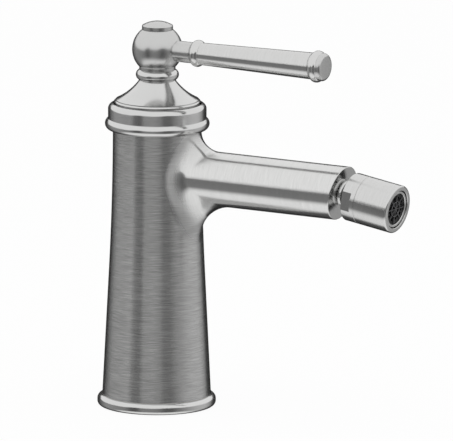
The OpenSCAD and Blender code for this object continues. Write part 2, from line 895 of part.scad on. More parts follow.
module bell_hollow() {
    intersection() {
        translate([0, pivot_z])
            circle(r = bell_r - skirt_t, $fn = 2 * $fn);
        rect(0, bell_r, pivot_z - bell_r, pivot_z + bell_ceiling);
    }
    intersection() {
        translate([0, pivot_z])
            circle(r = bell_inner_r, $fn = 2 * $fn);
        rect(0, bell_r, pivot_z - bell_r, neck_z);
    }
    rect(0, spindle_r + seat_gap, pivot_z, neck_z + cut);
}

module handle_bell() {
    color(nickel)
        rotate_extrude()
            difference() {
                bell_profile();
                bell_hollow();
            }
}

module neck_bead() {
    bead_z = neck_z + neck_bead_h / 2;
    color(nickel)
        rotate_extrude()
            difference() {
                union() {
                    rect(0, neck_r, neck_z + seat_gap, bead_top_z);
                    translate([neck_bead_r - neck_bead_round, bead_z])
                        circle(r = neck_bead_round);
                }
                rect(0, spindle_r + seat_gap, neck_z - cut, bead_top_z + cut);
                rect(0, neck_bead_r + cut, neck_z - cut, neck_z + seat_gap);
                rect(0, neck_bead_r + cut, bead_top_z, bead_top_z + cut);
            }
}

module handle_ball() {
    foot_z = bead_top_z + seat_gap;
    color(nickel)
        difference() {
            union() {
                intersection() {
                    translate([0, 0, ball_z])
                        sphere(r = ball_r);
                    disc(2 * ball_r, foot_z, cap_z);
                }
                disc(neck_r, foot_z, ball_z);
            }
            disc(spindle_r + seat_gap, foot_z - cut, spindle_top_z + seat_gap);
            disc(screw_r + slip, foot_z, screw_seat_z + cut);
            disc(screw_pocket_r, screw_seat_z, cap_z + cut);
            along_lever() {
                disc(rod_hole_r, rod_hole_x, 2 * ball_r);
                disc(rod_seat_r, rod_x, 2 * ball_r);
            }
        }
}

module handle_screw() {
    key_r = 1.9;
    color(steel)
        difference() {
            union() {
                disc(screw_r, screw_seat_z - screw_l, screw_seat_z + seat_gap + cut / 2);
                disc(screw_head_r, screw_seat_z + seat_gap, screw_seat_z + screw_head_h);
            }
            translate([0, 0, screw_seat_z + screw_head_h / 3])
                cylinder(r = key_r, h = screw_head_h, $fn = 6);
        }
}

module ball_cap() {
    cap_low = cap_z + seat_gap;
    dome_r = (cap_r * cap_r + cap_dome * cap_dome) / (2 * cap_dome);
    color(nickel)
        rotate_extrude() {
            rect(0, screw_pocket_r - slip, cap_low - cap_plug_h, cap_low + cut);
            rect(0, cap_r, cap_low, cap_low + cap_h);
            intersection() {
                translate([0, cap_low + cap_h + cap_dome - dome_r])
                    circle(r = dome_r, $fn = 2 * $fn);
                rect(0, cap_r, cap_low + cap_h / 2, cap_low + cap_h + cap_dome);
            }
        }
}

module lever_rod() {
    color(nickel)
        along_lever() {
            disc(rod_hole_r - slip, rod_hole_x + slip, rod_x + cut);
            disc(rod_r, rod_x + seat_gap, grip_collar_x);
            disc(stud_r, grip_collar_x - cut, grip_x + rod_stud_l);
        }
}

// A turned ring whose outside is a half round, bored for the lever's stud.
module lever_bead(x, length, outer_r, foot_low_r, foot_high_r) {
    along_lever()
        rotate_extrude()
            difference() {
                union() {
                    polygon([[0, x], [foot_low_r, x], [foot_high_r, x + length], [0, x + length]]);
                    intersection() {
                        translate([outer_r - length / 2, x + length / 2])
                            circle(d = length);
                        rect(0, outer_r + cut, x, x + length);
                    }
                }
                rect(0, stud_r + seat_gap, x - cut, x + length + cut);
            }
}

module grip_collar() {
    color(nickel)
        lever_bead(grip_collar_x + seat_gap, grip_collar_l - seat_gap, grip_collar_r,
            rod_r - slip, grip_r - slip);
}

module lever_grip() {
    color(nickel)
        along_lever()
            difference() {
                translate([0, 0, grip_x + seat_gap])
                    cylinder(r1 = grip_r, r2 = grip_end_r, h = grip_l - seat_gap);
                disc(stud_r + seat_gap, grip_x - cut, grip_x + rod_stud_l + seat_gap);
                disc(stud_r + seat_gap, end_bead_x - cap_stud_l - seat_gap, end_bead_x + cut);
            }
}

module grip_end_bead() {
    color(nickel)
        lever_bead(end_bead_x + seat_gap, end_bead_l - seat_gap, end_bead_r,
            grip_end_r - slip, end_cap_r - slip);
}

module grip_end_cap() {
    tip = end_cap_x + end_cap_l;
    color(nickel)
        along_lever()
            rotate_extrude() {
                rect(0, stud_r, end_bead_x - cap_stud_l, end_cap_x + cut);
                rect(0, end_cap_r, end_cap_x + seat_gap, tip - end_cap_round);
                rect(0, end_cap_r - end_cap_round, end_cap_x + seat_gap, tip);
                intersection() {
                    translate([end_cap_r - end_cap_round, tip - end_cap_round])
                        circle(r = end_cap_round, $fn = small_fn);
                    rect(0, end_cap_r + cut, end_cap_x + seat_gap, tip + cut);
                }
            }
}

// Collar

module collar() {
    bead_z = column_top_z + bead_round;
    color(nickel)
        rotate_extrude()
            difference() {
                union() {
                    translate([bead_r - bead_round, bead_z])
                        circle(r = bead_round);
                    rect(0, bead_r - bead_round, column_top_z + seat_gap, bead_z);
                    rect(0, band_r, bead_z, shoulder_z);
                    rect(0, band_r - shoulder_round, bead_z, collar_top_z);
                    translate([band_r - shoulder_round, shoulder_z])
                        circle(r = shoulder_round);
                }
                rect(0, collar_spigot_r + slip, column_top_z - cut, spigot_top_z + slip);
                rect(0, mouth_r, spigot_top_z, collar_top_z + cut);
                rect(0, bead_r + cut, column_top_z - cut, column_top_z + seat_gap);
            }
}

module collar_o_ring() {
    color(rubber)
        o_ring(collar_spigot_r + slip - seat_gap - collar_ring_d / 2, collar_ring_d,
            column_top_z + collar_groove_z + (collar_ring_d + slip) / 2);
}

// Nozzle

module ball_nipple() {
    flange_round = nipple_flange_h / 2;
    color(nickel)
        at_spout_end()
            difference() {
                union() {
                    disc(nipple_r, -nipple_thread_l, cut / 2);
                    disc(nipple_flange_r - flange_round, seat_gap, nipple_flange_h);
                    translate([0, 0, flange_round + seat_gap])
                        rotate_extrude()
                            translate([nipple_flange_r - flange_round, 0])
                                circle(r = flange_round, $fn = small_fn);
                    disc(nipple_stem_r, nipple_flange_h - cut, joint_out);
                    intersection() {
                        translate([0, 0, joint_out])
                            sphere(r = joint_ball_r);
                        disc(2 * joint_ball_r, joint_out - joint_ball_r, joint_out + ball_face);
                    }
                }
                disc(nipple_bore_r, -nipple_thread_l - cut, joint_out + joint_ball_r + cut);
            }
}

module ball_liner() {
    color(white_plastic)
        at_spout_end()
            translate([0, 0, joint_out])
                rotate_extrude()
                    difference() {
                        intersection() {
                            circle(r = liner_r + liner_t);
                            rect(0, cup_r, -liner_half_l, liner_half_l);
                        }
                        circle(r = liner_r);
                    }
}

module swivel_collar() {
    color(nickel)
        at_nozzle()
            difference() {
                rotate_extrude()
                    difference() {
                        union() {
                            rect(0, nozzle_r - swivel_round, -swivel_back, swivel_front);
                            rect(0, nozzle_r, swivel_round - swivel_back, swivel_front);
                            translate([nozzle_r - swivel_round, swivel_round - swivel_back])
                                circle(r = swivel_round, $fn = small_fn);
                            rect(0, nozzle_thread_r, swivel_front - cut, swivel_front + nozzle_thread_l);
                        }
                        circle(r = cup_r);
                        rect(0, cup_r, 0, nozzle_l);
                        polygon([
                            [0, cut - swivel_lip],
                            [lip_r - cut * mouth_flare, cut - swivel_lip],
                            [swivel_mouth_r, -swivel_back],
                            [swivel_mouth_r, -swivel_back - cut],
                            [0, -swivel_back - cut]
                        ]);
                    }
                for (side = [-1, 1])
                    translate([-nozzle_r, side * (swivel_flats / 2 + nozzle_r) - nozzle_r, -2 * swivel_back])
                        cube([2 * nozzle_r, 2 * nozzle_r, swivel_back + swivel_flat_l]);
            }
}

module aerator_housing() {
    thread_end = swivel_front + nozzle_thread_l + slip;
    color(nickel)
        at_nozzle()
            rotate_extrude()
                difference() {
                    union() {
                        rect(0, nozzle_r, housing_back, rim_face - outlet_round);
                        rect(0, nozzle_r - outlet_round, housing_back, rim_face);
                        translate([nozzle_r - outlet_round, rim_face - outlet_round])
                            circle(r = outlet_round, $fn = small_fn);
                    }
                    rect(0, nozzle_thread_r + slip, housing_back - cut, thread_end);
                    rect(0, outlet_bore_r, thread_end - cut, rim_face + cut);
                }
}

module ball_seal() {
    color(rubber)
        at_nozzle()
            rotate_extrude()
                rect(nipple_stem_r, outlet_bore_r - slip, ball_seal_back, ball_seal_back + ball_seal_h);
}

module aerator_washer() {
    color(rubber)
        at_nozzle()
            rotate_extrude()
                rect(nipple_stem_r, outlet_bore_r - slip, washer_back, washer_back + washer_h);
}

module aerator_screen() {
    rings = 3;
    pitch = 2.1;
    hole_r = 0.7;
    color(steel)
        at_nozzle()
            difference() {
                disc(outlet_ring_r, screen_back, screen_back + screen_h);
                for (k = [0 : rings], i = [0 : max(1, 6 * k) - 1])
                    rotate([0, 0, i * 360 / max(1, 6 * k)])
                        translate([k * pitch, 0, screen_back - cut])
                            cylinder(r = hole_r, h = screen_h + 2 * cut, $fn = 6);
            }
}

module aerator_ring() {
    color(nickel)
        at_nozzle()
            rotate_extrude()
                rect(outlet_ring_r - outlet_ring_t, outlet_ring_r, comb_back, ring_face);
}

module aerator_insert() {
    pitch = comb_cell + comb_wall;
    rows = 3;
    color(black_plastic)
        at_nozzle()
            difference() {
                disc(comb_r, comb_back, comb_face);
                for (q = [-rows : rows], s = [max(-rows, -q - rows) : min(rows, -q + rows)])
                    translate([pitch * (q + s / 2), pitch * s * sqrt(3) / 2, comb_back - cut])
                        rotate([0, 0, 30])
                            cylinder(r = comb_cell / sqrt(3), h = comb_h + 2 * cut, $fn = 6);
            }
}

// Assembly

body_casting();
base_ring();
base_seal();
inlet_block();
retaining_clip();
hot_tube();
cold_tube();
tube_seals();
cartridge_base();
port_seals();
cartridge_housing();
housing_seal();
fixed_disc();
cartridge_nut();
collar();
collar_o_ring();
ball_nipple();
spindle_carrier();
pivot_pin();
moving_disc();
disc_driver();
spindle();
handle_bell();
neck_bead();
handle_ball();
handle_screw();
ball_cap();
lever_rod();
grip_collar();
lever_grip();
grip_end_bead();
grip_end_cap();
ball_liner();
swivel_collar();
aerator_housing();
ball_seal();
aerator_washer();
aerator_screen();
aerator_ring();
aerator_insert();
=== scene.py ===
"""Single-lever bidet mixer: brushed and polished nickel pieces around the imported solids, in metres."""
import json
import math

import bpy
import numpy as np
from mathutils import Matrix, Vector


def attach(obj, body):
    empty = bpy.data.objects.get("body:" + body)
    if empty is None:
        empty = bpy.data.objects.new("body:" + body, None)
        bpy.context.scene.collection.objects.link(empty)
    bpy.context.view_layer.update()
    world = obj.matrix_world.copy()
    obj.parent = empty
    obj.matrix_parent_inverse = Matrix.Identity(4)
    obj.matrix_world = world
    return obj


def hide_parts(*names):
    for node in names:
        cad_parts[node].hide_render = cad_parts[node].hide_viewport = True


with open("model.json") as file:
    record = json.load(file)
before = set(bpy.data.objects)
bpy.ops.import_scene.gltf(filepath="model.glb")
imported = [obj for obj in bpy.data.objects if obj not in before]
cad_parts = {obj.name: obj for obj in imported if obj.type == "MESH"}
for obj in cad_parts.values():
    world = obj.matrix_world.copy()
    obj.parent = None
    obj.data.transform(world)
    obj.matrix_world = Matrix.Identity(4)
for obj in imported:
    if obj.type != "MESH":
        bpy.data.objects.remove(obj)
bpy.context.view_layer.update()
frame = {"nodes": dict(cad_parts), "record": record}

MM = 0.001
SMOOTH = -1.0
UV_RUN = 50.0
UP = np.array([0.0, 0.0, 1.0])
FORWARD = np.array([1.0, 0.0, 0.0])

# Sizes in millimetres, as in the part's source
SLIP, SEAT_GAP = 0.1, 0.05
FOOT_R, FOOT_H, FOOT_ROUND, FOOT_LOW_ROUND = 27.0, 5.3, 2.3, 2.0
FOOT_SPIGOT_R, GASKET_H, GASKET_R = 22.0, 1.5, 23.5
COLUMN_BASE_R, COLUMN_TOP_R, TAPER_Z, COLUMN_TOP_Z = 24.76, 20.2, 64.0, 127.6
HOLLOW_R, WEB_Z, SEAT_Z, CLIP_Z, CLIP_H, CLIP_GROOVE = 18.8, 86.0, 102.8, 21.95, 1.5, 0.8
CHAMBER_R, NUT_BORE_R, NUT_Z = 17.6, 17.9, 122.1
SPOUT_R, SPOUT_Z, SPOUT_REACH, SPOUT_CUT = 12.3, 107.7, 97.5, math.radians(11.5)
BLEND_TOP_R, BLEND_LOW_R = 11.7, 19.0
BELL_R, MOUTH_GAP, COLLAR_WALL, BEAD_PROUD, BEAD_ROUND = 19.75, 0.35, 2.3, 1.4, 2.8
COLLAR_H, SHOULDER_ROUND, COLLAR_SPIGOT_R, COLLAR_SPIGOT_H = 12.1, 2.6, 19.3, 3.6
PIVOT_OVER_COLLAR, BELL_RIM_H, BELL_RIM_ROUND, BELL_H, BELL_SWEEP_R = 0.9, 0.5, 0.8, 9.8, 28.0
BELL_CEILING, SKIRT_T, SKIRT_DEG, BELL_INNER_R, SPINDLE_BORE_R = 0.3, 1.85, 22.5, 9.74, 4.05
NECK_R, NECK_BEAD_R, NECK_BEAD_H, NECK_BEAD_ROUND = 8.25, 9.8, 5.0, 2.6
BALL_R, BALL_RISE, CAP_R, CAP_H, CAP_DOME = 11.5, 9.15, 7.05, 1.8, 2.0
ROD_R, GRIP_COLLAR_X, GRIP_COLLAR_L, GRIP_COLLAR_R = 4.8, 19.0, 4.8, 6.15
GRIP_L, GRIP_R, GRIP_END_R = 58.1, 5.1, 6.1
END_BEAD_L, END_BEAD_R, END_CAP_R, END_CAP_L, END_CAP_ROUND = 4.5, 7.26, 6.4, 2.2, 1.8
NIPPLE_RISE, NIPPLE_R, NIPPLE_FLANGE_R, NIPPLE_FLANGE_H = 0.35, 4.9, 6.05, 2.5
NIPPLE_STEM_R, NIPPLE_BORE_R, JOINT_BALL_R, JOINT_OUT, BALL_FACE = 3.9, 2.4, 6.2, 11.4, 5.4
NOZZLE_DROOP, NOZZLE_R, SWIVEL_L, SWIVEL_BACK, SWIVEL_ROUND = math.radians(8.8), 11.05, 6.8, 6.1, 0.4
SWIVEL_LIP, SWIVEL_MOUTH_R, SWIVEL_FLATS, SWIVEL_FLAT_L, CUP_R = 4.6, 7.4, 20.3, 4.7, 8.0
NOZZLE_THREAD_R, NOZZLE_THREAD_L, NOZZLE_L, OUTLET_ROUND = 9.3, 4.6, 17.1, 0.9
OUTLET_BORE_R, OUTLET_RING_R, OUTLET_RING_T, OUTLET_RING_SINK = 8.75, 8.4, 1.2, 0.6
COMB_SINK, COMB_H = 0.9, 5.4
STAR_SPOKES, STAR_RINGS, STAR_R, STAR_RIB, STAR_DEPTH, STAR_RISE = 8, 1, 7.0, 0.18, 0.6, 0.25
INLET_X, INLET_Y, INLET_R, INLET_TURNS, INLET_THREAD_L = 2.5, 6.0, 4.5, 8.0, 8.6
STUD_X, STUD_R, STUD_TURNS, STUD_THREAD_L = -10.0, 3.4, 10.0, 13.0
THREAD_Z, THREAD_RIDGE = 22.4, 0.32
SPOUT_EDGE, NIPPLE_HOLE_L, NIPPLE_TAIL = 0.35, 3.0, 0.5
EDGE, SOFT_EDGE, FINE_EDGE, ROD_EDGE, STEM_EDGE, RIM_EDGE, RING_EDGE = 0.1, 0.15, 0.05, 0.12, 0.2, 0.25, 0.3

# Heights and reaches that follow from them
MOUTH_R = BELL_R + MOUTH_GAP
BAND_R = MOUTH_R + COLLAR_WALL
COLLAR_TOP_Z = COLUMN_TOP_Z + COLLAR_H
SPIGOT_TOP_Z = COLUMN_TOP_Z + COLLAR_SPIGOT_H
PIVOT_Z = COLLAR_TOP_Z + PIVOT_OVER_COLLAR
RIM_Z = PIVOT_Z + BELL_RIM_H
NECK_Z = PIVOT_Z + BELL_H
BEAD_TOP_Z = NECK_Z + NECK_BEAD_H
BALL_Z = BEAD_TOP_Z + BALL_RISE
CAP_Z = BALL_Z + math.sqrt(BALL_R ** 2 - CAP_R ** 2)
GRIP_X = GRIP_COLLAR_X + GRIP_COLLAR_L
END_BEAD_X = GRIP_X + GRIP_L
END_CAP_X = END_BEAD_X + END_BEAD_L
LEVER_TIP_X = END_CAP_X + END_CAP_L
SWIVEL_FRONT = SWIVEL_L - SWIVEL_BACK
RIM_FACE = SWIVEL_FRONT + SEAT_GAP + NOZZLE_L
RING_FACE = RIM_FACE - OUTLET_RING_SINK
COMB_FACE = RING_FACE - COMB_SINK
STEM_AXIS = np.array([math.cos(SPOUT_CUT), 0.0, -math.sin(SPOUT_CUT)])
FACE_UP = np.array([math.sin(SPOUT_CUT), 0.0, math.cos(SPOUT_CUT)])
NOZZLE_AXIS = np.array([math.cos(NOZZLE_DROOP), 0.0, -math.sin(NOZZLE_DROOP)])
NIPPLE_SEAT = np.array([SPOUT_REACH, 0.0, SPOUT_Z]) + NIPPLE_RISE * FACE_UP
JOINT = NIPPLE_SEAT + JOINT_OUT * STEM_AXIS
LEVER_ROOT = np.array([0.0, 0.0, BALL_Z])
SIDE = np.array([0.0, 1.0, 0.0])


# Meshes from smooth grids

class Skin:
    """Grids of points with a normal at each face corner: places that coincide become one vertex."""

    def __init__(self):
        self.grids = []

    def grid(self, places, normals, uvs, grain, share=None, finish=0):
        rows, columns = places.shape[:2]
        if share is None:
            share = np.zeros((rows, columns))
        finishes = np.broadcast_to(np.asarray(finish), (rows - 1, columns - 1))
        data = np.concatenate([places, normals, uvs, grain, share[..., None]], axis=2)
        quads = np.stack([data[:-1, :-1], data[1:, :-1], data[1:, 1:], data[:-1, 1:]], axis=2)
        quads = quads.reshape(-1, 4, data.shape[2])
        across = np.cross(quads[:, 2, :3] - quads[:, 0, :3], quads[:, 3, :3] - quads[:, 1, :3])
        inward = np.einsum("ij,ij->i", across, quads[:, :, 3:6].sum(axis=1)) < 0
        quads[inward] = quads[inward][:, ::-1]
        self.grids.append((quads, finishes.reshape(-1)))

    def mesh(self, name, materials):
        quads = np.concatenate([g[0] for g in self.grids])
        finishes = np.concatenate([g[1] for g in self.grids])
        corners = quads.reshape(-1, quads.shape[2])
        keys = np.round(corners[:, :3] * 2e4).astype(np.int64)
        _, first, index = np.unique(keys, axis=0, return_index=True, return_inverse=True)
        face = index.reshape(-1, 4)
        kept = face != np.roll(face, -1, axis=1)
        whole = kept.sum(axis=1) >= 3
        kept = kept & whole[:, None]
        faces = [f[k].tolist() for f, k in zip(face[whole], kept[whole])]
        loops = corners[kept.reshape(-1)]
        mesh = bpy.data.meshes.new(name)
        mesh.from_pydata((corners[first, :3] * MM).tolist(), [], faces)
        for paint in materials:
            mesh.materials.append(paint)
        mesh.polygons.foreach_set("material_index", finishes[whole].astype(np.int32))
        mesh.polygons.foreach_set("use_smooth", np.ones(len(faces), bool))
        layer = mesh.uv_layers.new(name="turning")
        layer.data.foreach_set("uv", loops[:, 6:8].astype(np.float32).ravel())
        grain = mesh.attributes.new("grain", "FLOAT_VECTOR", "POINT")
        grain.data.foreach_set("vector", (corners[first, 8:11] * MM).astype(np.float32).ravel())
        share = mesh.attributes.new("spout_share", "FLOAT", "POINT")
        share.data.foreach_set("value", corners[first, 11].astype(np.float32))
        mesh.normals_split_custom_set(unit(loops[:, 3:6]).tolist())
        mesh.update()
        return mesh


def unit(vectors):
    length = np.linalg.norm(vectors, axis=-1, keepdims=True)
    return vectors / np.maximum(length, 1e-12)


def stacked(*parts):
    return np.stack(np.broadcast_arrays(*parts), axis=-1)


def new_object(name, data):
    thing = bpy.data.objects.new(name, data)
    bpy.context.scene.collection.objects.link(thing)
    return thing


def put(name, mesh, body, slot, *replaced):
    """A finished piece at the origin, on its body, in place of the solids that it stands for."""
    piece = new_object(name, mesh)
    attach(piece, body)
    if replaced:
        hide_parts(*replaced)
    return piece


# Turned outlines

def arc(centre_r, centre_z, radius, start, end, first=SMOOTH, last=SMOOTH, steps=24):
    """Points of an arc, in degrees, with the kind of corner at its two ends."""
    angles = np.radians(np.linspace(start, end, steps + 1))
    points = [[centre_r + radius * math.cos(a), centre_z + radius * math.sin(a), SMOOTH] for a in angles]
    points[0][2] = first
    points[-1][2] = last
    return [tuple(p) for p in points]


def bead(centre_r, centre_z, radius, low_r, high_r):
    """A half round that stands on two radii, below and above."""
    low = -math.degrees(math.acos((low_r - centre_r) / radius))
    high = math.degrees(math.acos((high_r - centre_r) / radius))
    return arc(centre_r, centre_z, radius, low, high, 0.0, 0.0)


def bow(centre_r, centre_z, first, last, steps=32):
    """The shorter arc about a centre from one point to another, with crisp ends."""
    start = math.atan2(first[1] - centre_z, first[0] - centre_r)
    end = math.atan2(last[1] - centre_z, last[0] - centre_r)
    end = start + (end - start + math.pi) % (2 * math.pi) - math.pi
    radius = math.hypot(first[0] - centre_r, first[1] - centre_z)
    return arc(centre_r, centre_z, radius, math.degrees(start), math.degrees(end), 0.0, 0.0, steps)


def outline(path, closed):
    """Points and normals along (radius, height, edge): a fillet's radius, 0 for a crisp corner, or SMOOTH."""
    points = [np.array(p[:2], float) for p in path]
    edges = [p[2] if len(p) > 2 else 0.0 for p in path]
    count = len(points)
    places, normals = [], []
    for i, (point, edge) in enumerate(zip(points, edges)):
        into = point - points[i - 1] if closed or i > 0 else None
        out = points[(i + 1) % count] - point if closed or i < count - 1 else None
        if into is None or out is None:
            run = unit(out if into is None else into)
            places.append(point)
            normals.append([run[1], -run[0]])
            continue
        length_in, length_out = np.linalg.norm(into), np.linalg.norm(out)
        into, out = into / length_in, out / length_out
        n0, n1 = np.array([into[1], -into[0]]), np.array([out[1], -out[0]])
        bend = math.atan2(into[0] * out[1] - into[1] * out[0], into @ out)
        if edge == SMOOTH or abs(bend) < 1e-4:
            places.append(point)
            normals.append(unit(n0 + n1))
        elif edge == 0.0:
            places += [point, point]
            normals += [n0, n1]
        else:
            setback = min(edge * math.tan(abs(bend) / 2), 0.45 * length_in, 0.45 * length_out)
            radius = setback / math.tan(abs(bend) / 2)
            side = 1.0 if bend > 0 else -1.0
            centre = point - into * setback - side * n0 * radius
            for t in np.linspace(0.0, bend, 5):
                n = np.array([n0[0] * math.cos(t) - n0[1] * math.sin(t), n0[0] * math.sin(t) + n0[1] * math.cos(t)])
                places.append(centre + side * n * radius)
                normals.append(n)
    if closed:
        places.append(places[0])
        normals.append(normals[0])
    return np.array(places), np.array(normals)


def swept(places, normals, origin, axis, ref, turns):
    """Grids of an outline turned about an axis: places, normals, UVs and grain."""
    across = np.cross(axis, ref)
    spokes = np.outer(np.cos(turns), ref) + np.outer(np.sin(turns), across)
    r, z = places[:, 0][:, None, None], places[:, 1][:, None, None]
    grid = origin + z * axis + r * spokes[None]
    facing = normals[:, 1][:, None, None] * axis + normals[:, 0][:, None, None] * spokes[None]
    run = np.concatenate([[0.0], np.cumsum(np.linalg.norm(np.diff(places, axis=0), axis=1))])
    u, v = np.meshgrid(turns / (2 * math.pi), run / UV_RUN)
    flat = stacked(r[..., 0] * np.cos(turns), r[..., 0] * np.sin(turns), run[:, None])
    return grid, facing, stacked(u, v), flat


def full_turn(segments):
    return np.linspace(0.0, 2 * math.pi, segments + 1)


def turned_piece(name, body, solid, path, materials, origin, axis, ref, closed=True, segments=192, pick=None):
    """A lathe-turned piece that stands for a solid of the same shape."""
    places, normals = outline(path, closed)
    turns = full_turn(segments)
    grid, facing, uvs, flat = swept(places, normals, origin, axis, ref, turns)
    grid[:, -1], facing[:, -1] = grid[:, 0], facing[:, 0]
    finish = 0
    if pick:
        middle = (places[:-1] + places[1:]) / 2
        finish = np.repeat([[pick(r, z)] for r, z in middle], segments, axis=1)
    skin = Skin()
    skin.grid(grid, facing, uvs, flat, finish=finish)
    return put(name, skin.mesh(name, materials), body, "brushed_nickel", solid)


# Materials

MIX_SOCKETS = {"FLOAT": (2, 3, 0), "VECTOR": (4, 5, 1), "RGBA": (6, 7, 2)}
FINE_LINES, BROAD_LINES, FINE_WEIGHT = (150.0, 5600.0), (80.0, 2600.0), 0.75
BRUSH_PULL, BRUSH_TURN, BRUSH_DEPTH = 0.95, 0.25, 0.00004
# The first number on the next line multiplies the spout's colour: painted light that makes the spout paler than the
# column of the same casting.
SPOUT_PAINTED_LIGHT, SPOUT_CALM, CALM_LEVEL = 1.18, 0.6, 0.62
HAZE_BY_SHARE = ((0.0, 0.60), (0.12, 0.95), (0.40, 0.70), (0.91, 0.42))
MOTTLE_LOW, MOTTLE_HIGH, GRAIN_FINER, GRAIN_DEPTH = 0.3, 0.7, 14.0, 0.0001


def material(name):
    made = bpy.data.materials.new(name)
    made.use_nodes = True
    tree = made.node_tree
    return made, tree, tree.nodes["Principled BSDF"]


def wire(tree, made, **sockets):
    """Sets or links a node's inputs by name, or by number as i0, i1 and so on."""
    for key, value in sockets.items():
        numbered = key[0] == "i" and key[1:].isdigit()
        target = made.inputs[int(key[1:]) if numbered else key.replace("_", " ")]
        if isinstance(value, bpy.types.NodeSocket):
            tree.links.new(value, target)
        else:
            target.default_value = value


def node(tree, kind, settings=None, **sockets):
    """A shader node by its short name, or a geometry node by its whole name, with its settings and inputs."""
    made = tree.nodes.new(kind if kind.startswith("Geometry") else "ShaderNode" + kind)
    for key, value in (settings or {}).items():
        setattr(made, key, value)
    wire(tree, made, **sockets)
    return made


def reckon(tree, operation, *values):
    """Result of a Math node."""
    sockets = {f"i{k}": value for k, value in enumerate(values)}
    return node(tree, "Math", {"operation": operation}, **sockets).outputs[0]


def mix(tree, kind, share, first, second, blend="MIX"):
    """Two numbers, vectors or colours mixed by a share."""
    a, b, out = MIX_SOCKETS[kind]
    sockets = {"i0": share, f"i{a}": first, f"i{b}": second}
    return node(tree, "Mix", {"data_type": kind, "blend_type": blend}, **sockets).outputs[out]


def grey(level, alpha=1.0):
    return (level, level, level, alpha)


def grey_ramp(tree, value, stops):
    """Outputs of a ramp through stops of place, grey level and alpha."""
    ramp = node(tree, "ValToRGB", Fac=value)
    marks = ramp.color_ramp.elements
    for k, (spot, level, alpha) in enumerate(stops):
        mark = marks[0] if k == 0 else marks[-1] if k == len(stops) - 1 else marks.new(spot)
        mark.position, mark.color = spot, grey(level, alpha)
    return ramp.outputs


def lines(tree, source, along, across):
    """Noise drawn out into brush lines: along is the lines' frequency lengthwise, across is crosswise."""
    scaled = node(tree, "Mapping", Vector=source, Scale=(along, along, across)).outputs["Vector"]
    return node(tree, "TexNoise", Vector=scaled, Scale=1.0, Detail=3.0, Roughness=0.55).outputs["Fac"]


def spread(tree, value, low, high, start=MOTTLE_LOW, end=MOTTLE_HIGH):
    """A value from start to end, spread between two numbers."""
    made = node(tree, "MapRange", Value=value, From_Min=start, From_Max=end, To_Min=low, To_Max=high)
    return made.outputs["Result"]


def tint(tree, value, low, high):
    """A mottled value spread between two colours."""
    ramp = node(tree, "ValToRGB", Fac=value)
    for mark, spot, colour in zip(ramp.color_ramp.elements, (MOTTLE_LOW, MOTTLE_HIGH), (low, high)):
        mark.position, mark.color = spot, (*colour, 1.0)
    return ramp.outputs["Color"]


def strokes(tree, fine, broad):
    """Fine brush lines over broad ones."""
    return reckon(tree, "MULTIPLY_ADD", fine, FINE_WEIGHT, reckon(tree, "MULTIPLY", broad, 1.0 - FINE_WEIGHT))


def brush(tree, shader, brushing, bump, **sockets):
    """Metal with brush lines in its relief, and the rest of its shader's inputs."""
    relief = node(tree, "Bump", Height=brushing, Strength=bump, Distance=BRUSH_DEPTH).outputs["Normal"]
    wire(tree, shader, Metallic=1.0, Anisotropic=BRUSH_PULL, Anisotropic_Rotation=BRUSH_TURN, Normal=relief, **sockets)


def brushed(name, light, dark, rough, bump):
    """Nickel brushed round its own axis: fine lines in colour, roughness and relief."""
    made, tree, shader = material(name)
    place = node(tree, "Attribute", {"attribute_name": "grain"}).outputs["Vector"]
    brushing = strokes(tree, lines(tree, place, *FINE_LINES), lines(tree, place, *BROAD_LINES))
    way = node(tree, "Tangent", {"direction_type": "UV_MAP", "uv_map": "turning"}).outputs["Tangent"]
    brush(tree, shader, brushing, bump, Base_Color=tint(tree, brushing, dark, light),
          Roughness=spread(tree, brushing, *rough), Tangent=way)
    return made


def brushed_both_ways(name, light, dark, rough, bump):
    """Nickel brushed round the column and round the spout, hazy in the blend, calmer on the spout and painted paler
    there: painted light on the spout against painted shade on the column, in one casting.
    """
    made, tree, shader = material(name)
    place = node(tree, "TexCoord").outputs["Object"]
    turned = node(tree, "Mapping", Vector=place, Rotation=(0.0, math.pi / 2, 0.0)).outputs["Vector"]
    share = node(tree, "Attribute", {"attribute_name": "spout_share"}).outputs["Fac"]
    fine, broad = [
        mix(tree, "FLOAT", share, lines(tree, place, *scale), lines(tree, turned, *scale))
        for scale in (FINE_LINES, BROAD_LINES)
    ]
    calm = reckon(tree, "MULTIPLY", share, SPOUT_CALM)
    brushing = mix(tree, "FLOAT", calm, strokes(tree, fine, broad), CALM_LEVEL)
    colour = tint(tree, brushing, dark, light)
    # Painted light: the spout's colour is made paler than the column's, though both are one casting.
    spout_painted_paler = mix(tree, "RGBA", 1.0, colour, grey(SPOUT_PAINTED_LIGHT), "MULTIPLY")
    haze = grey_ramp(tree, share, [(*stop, 1.0) for stop in HAZE_BY_SHARE])["Color"]
    facing = node(tree, "NewGeometry").outputs["Normal"]
    cross = {"operation": "CROSS_PRODUCT"}
    round_column = node(tree, "VectorMath", cross, i0=UP, i1=facing).outputs["Vector"]
    round_spout = node(tree, "VectorMath", cross, i0=facing, i1=FORWARD).outputs["Vector"]
    brush(tree, shader, brushing, bump, Base_Color=mix(tree, "RGBA", share, colour, spout_painted_paler),
          Roughness=reckon(tree, "MULTIPLY", spread(tree, brushing, *rough), haze),
          Tangent=mix(tree, "VECTOR", share, round_column, round_spout))
    return made


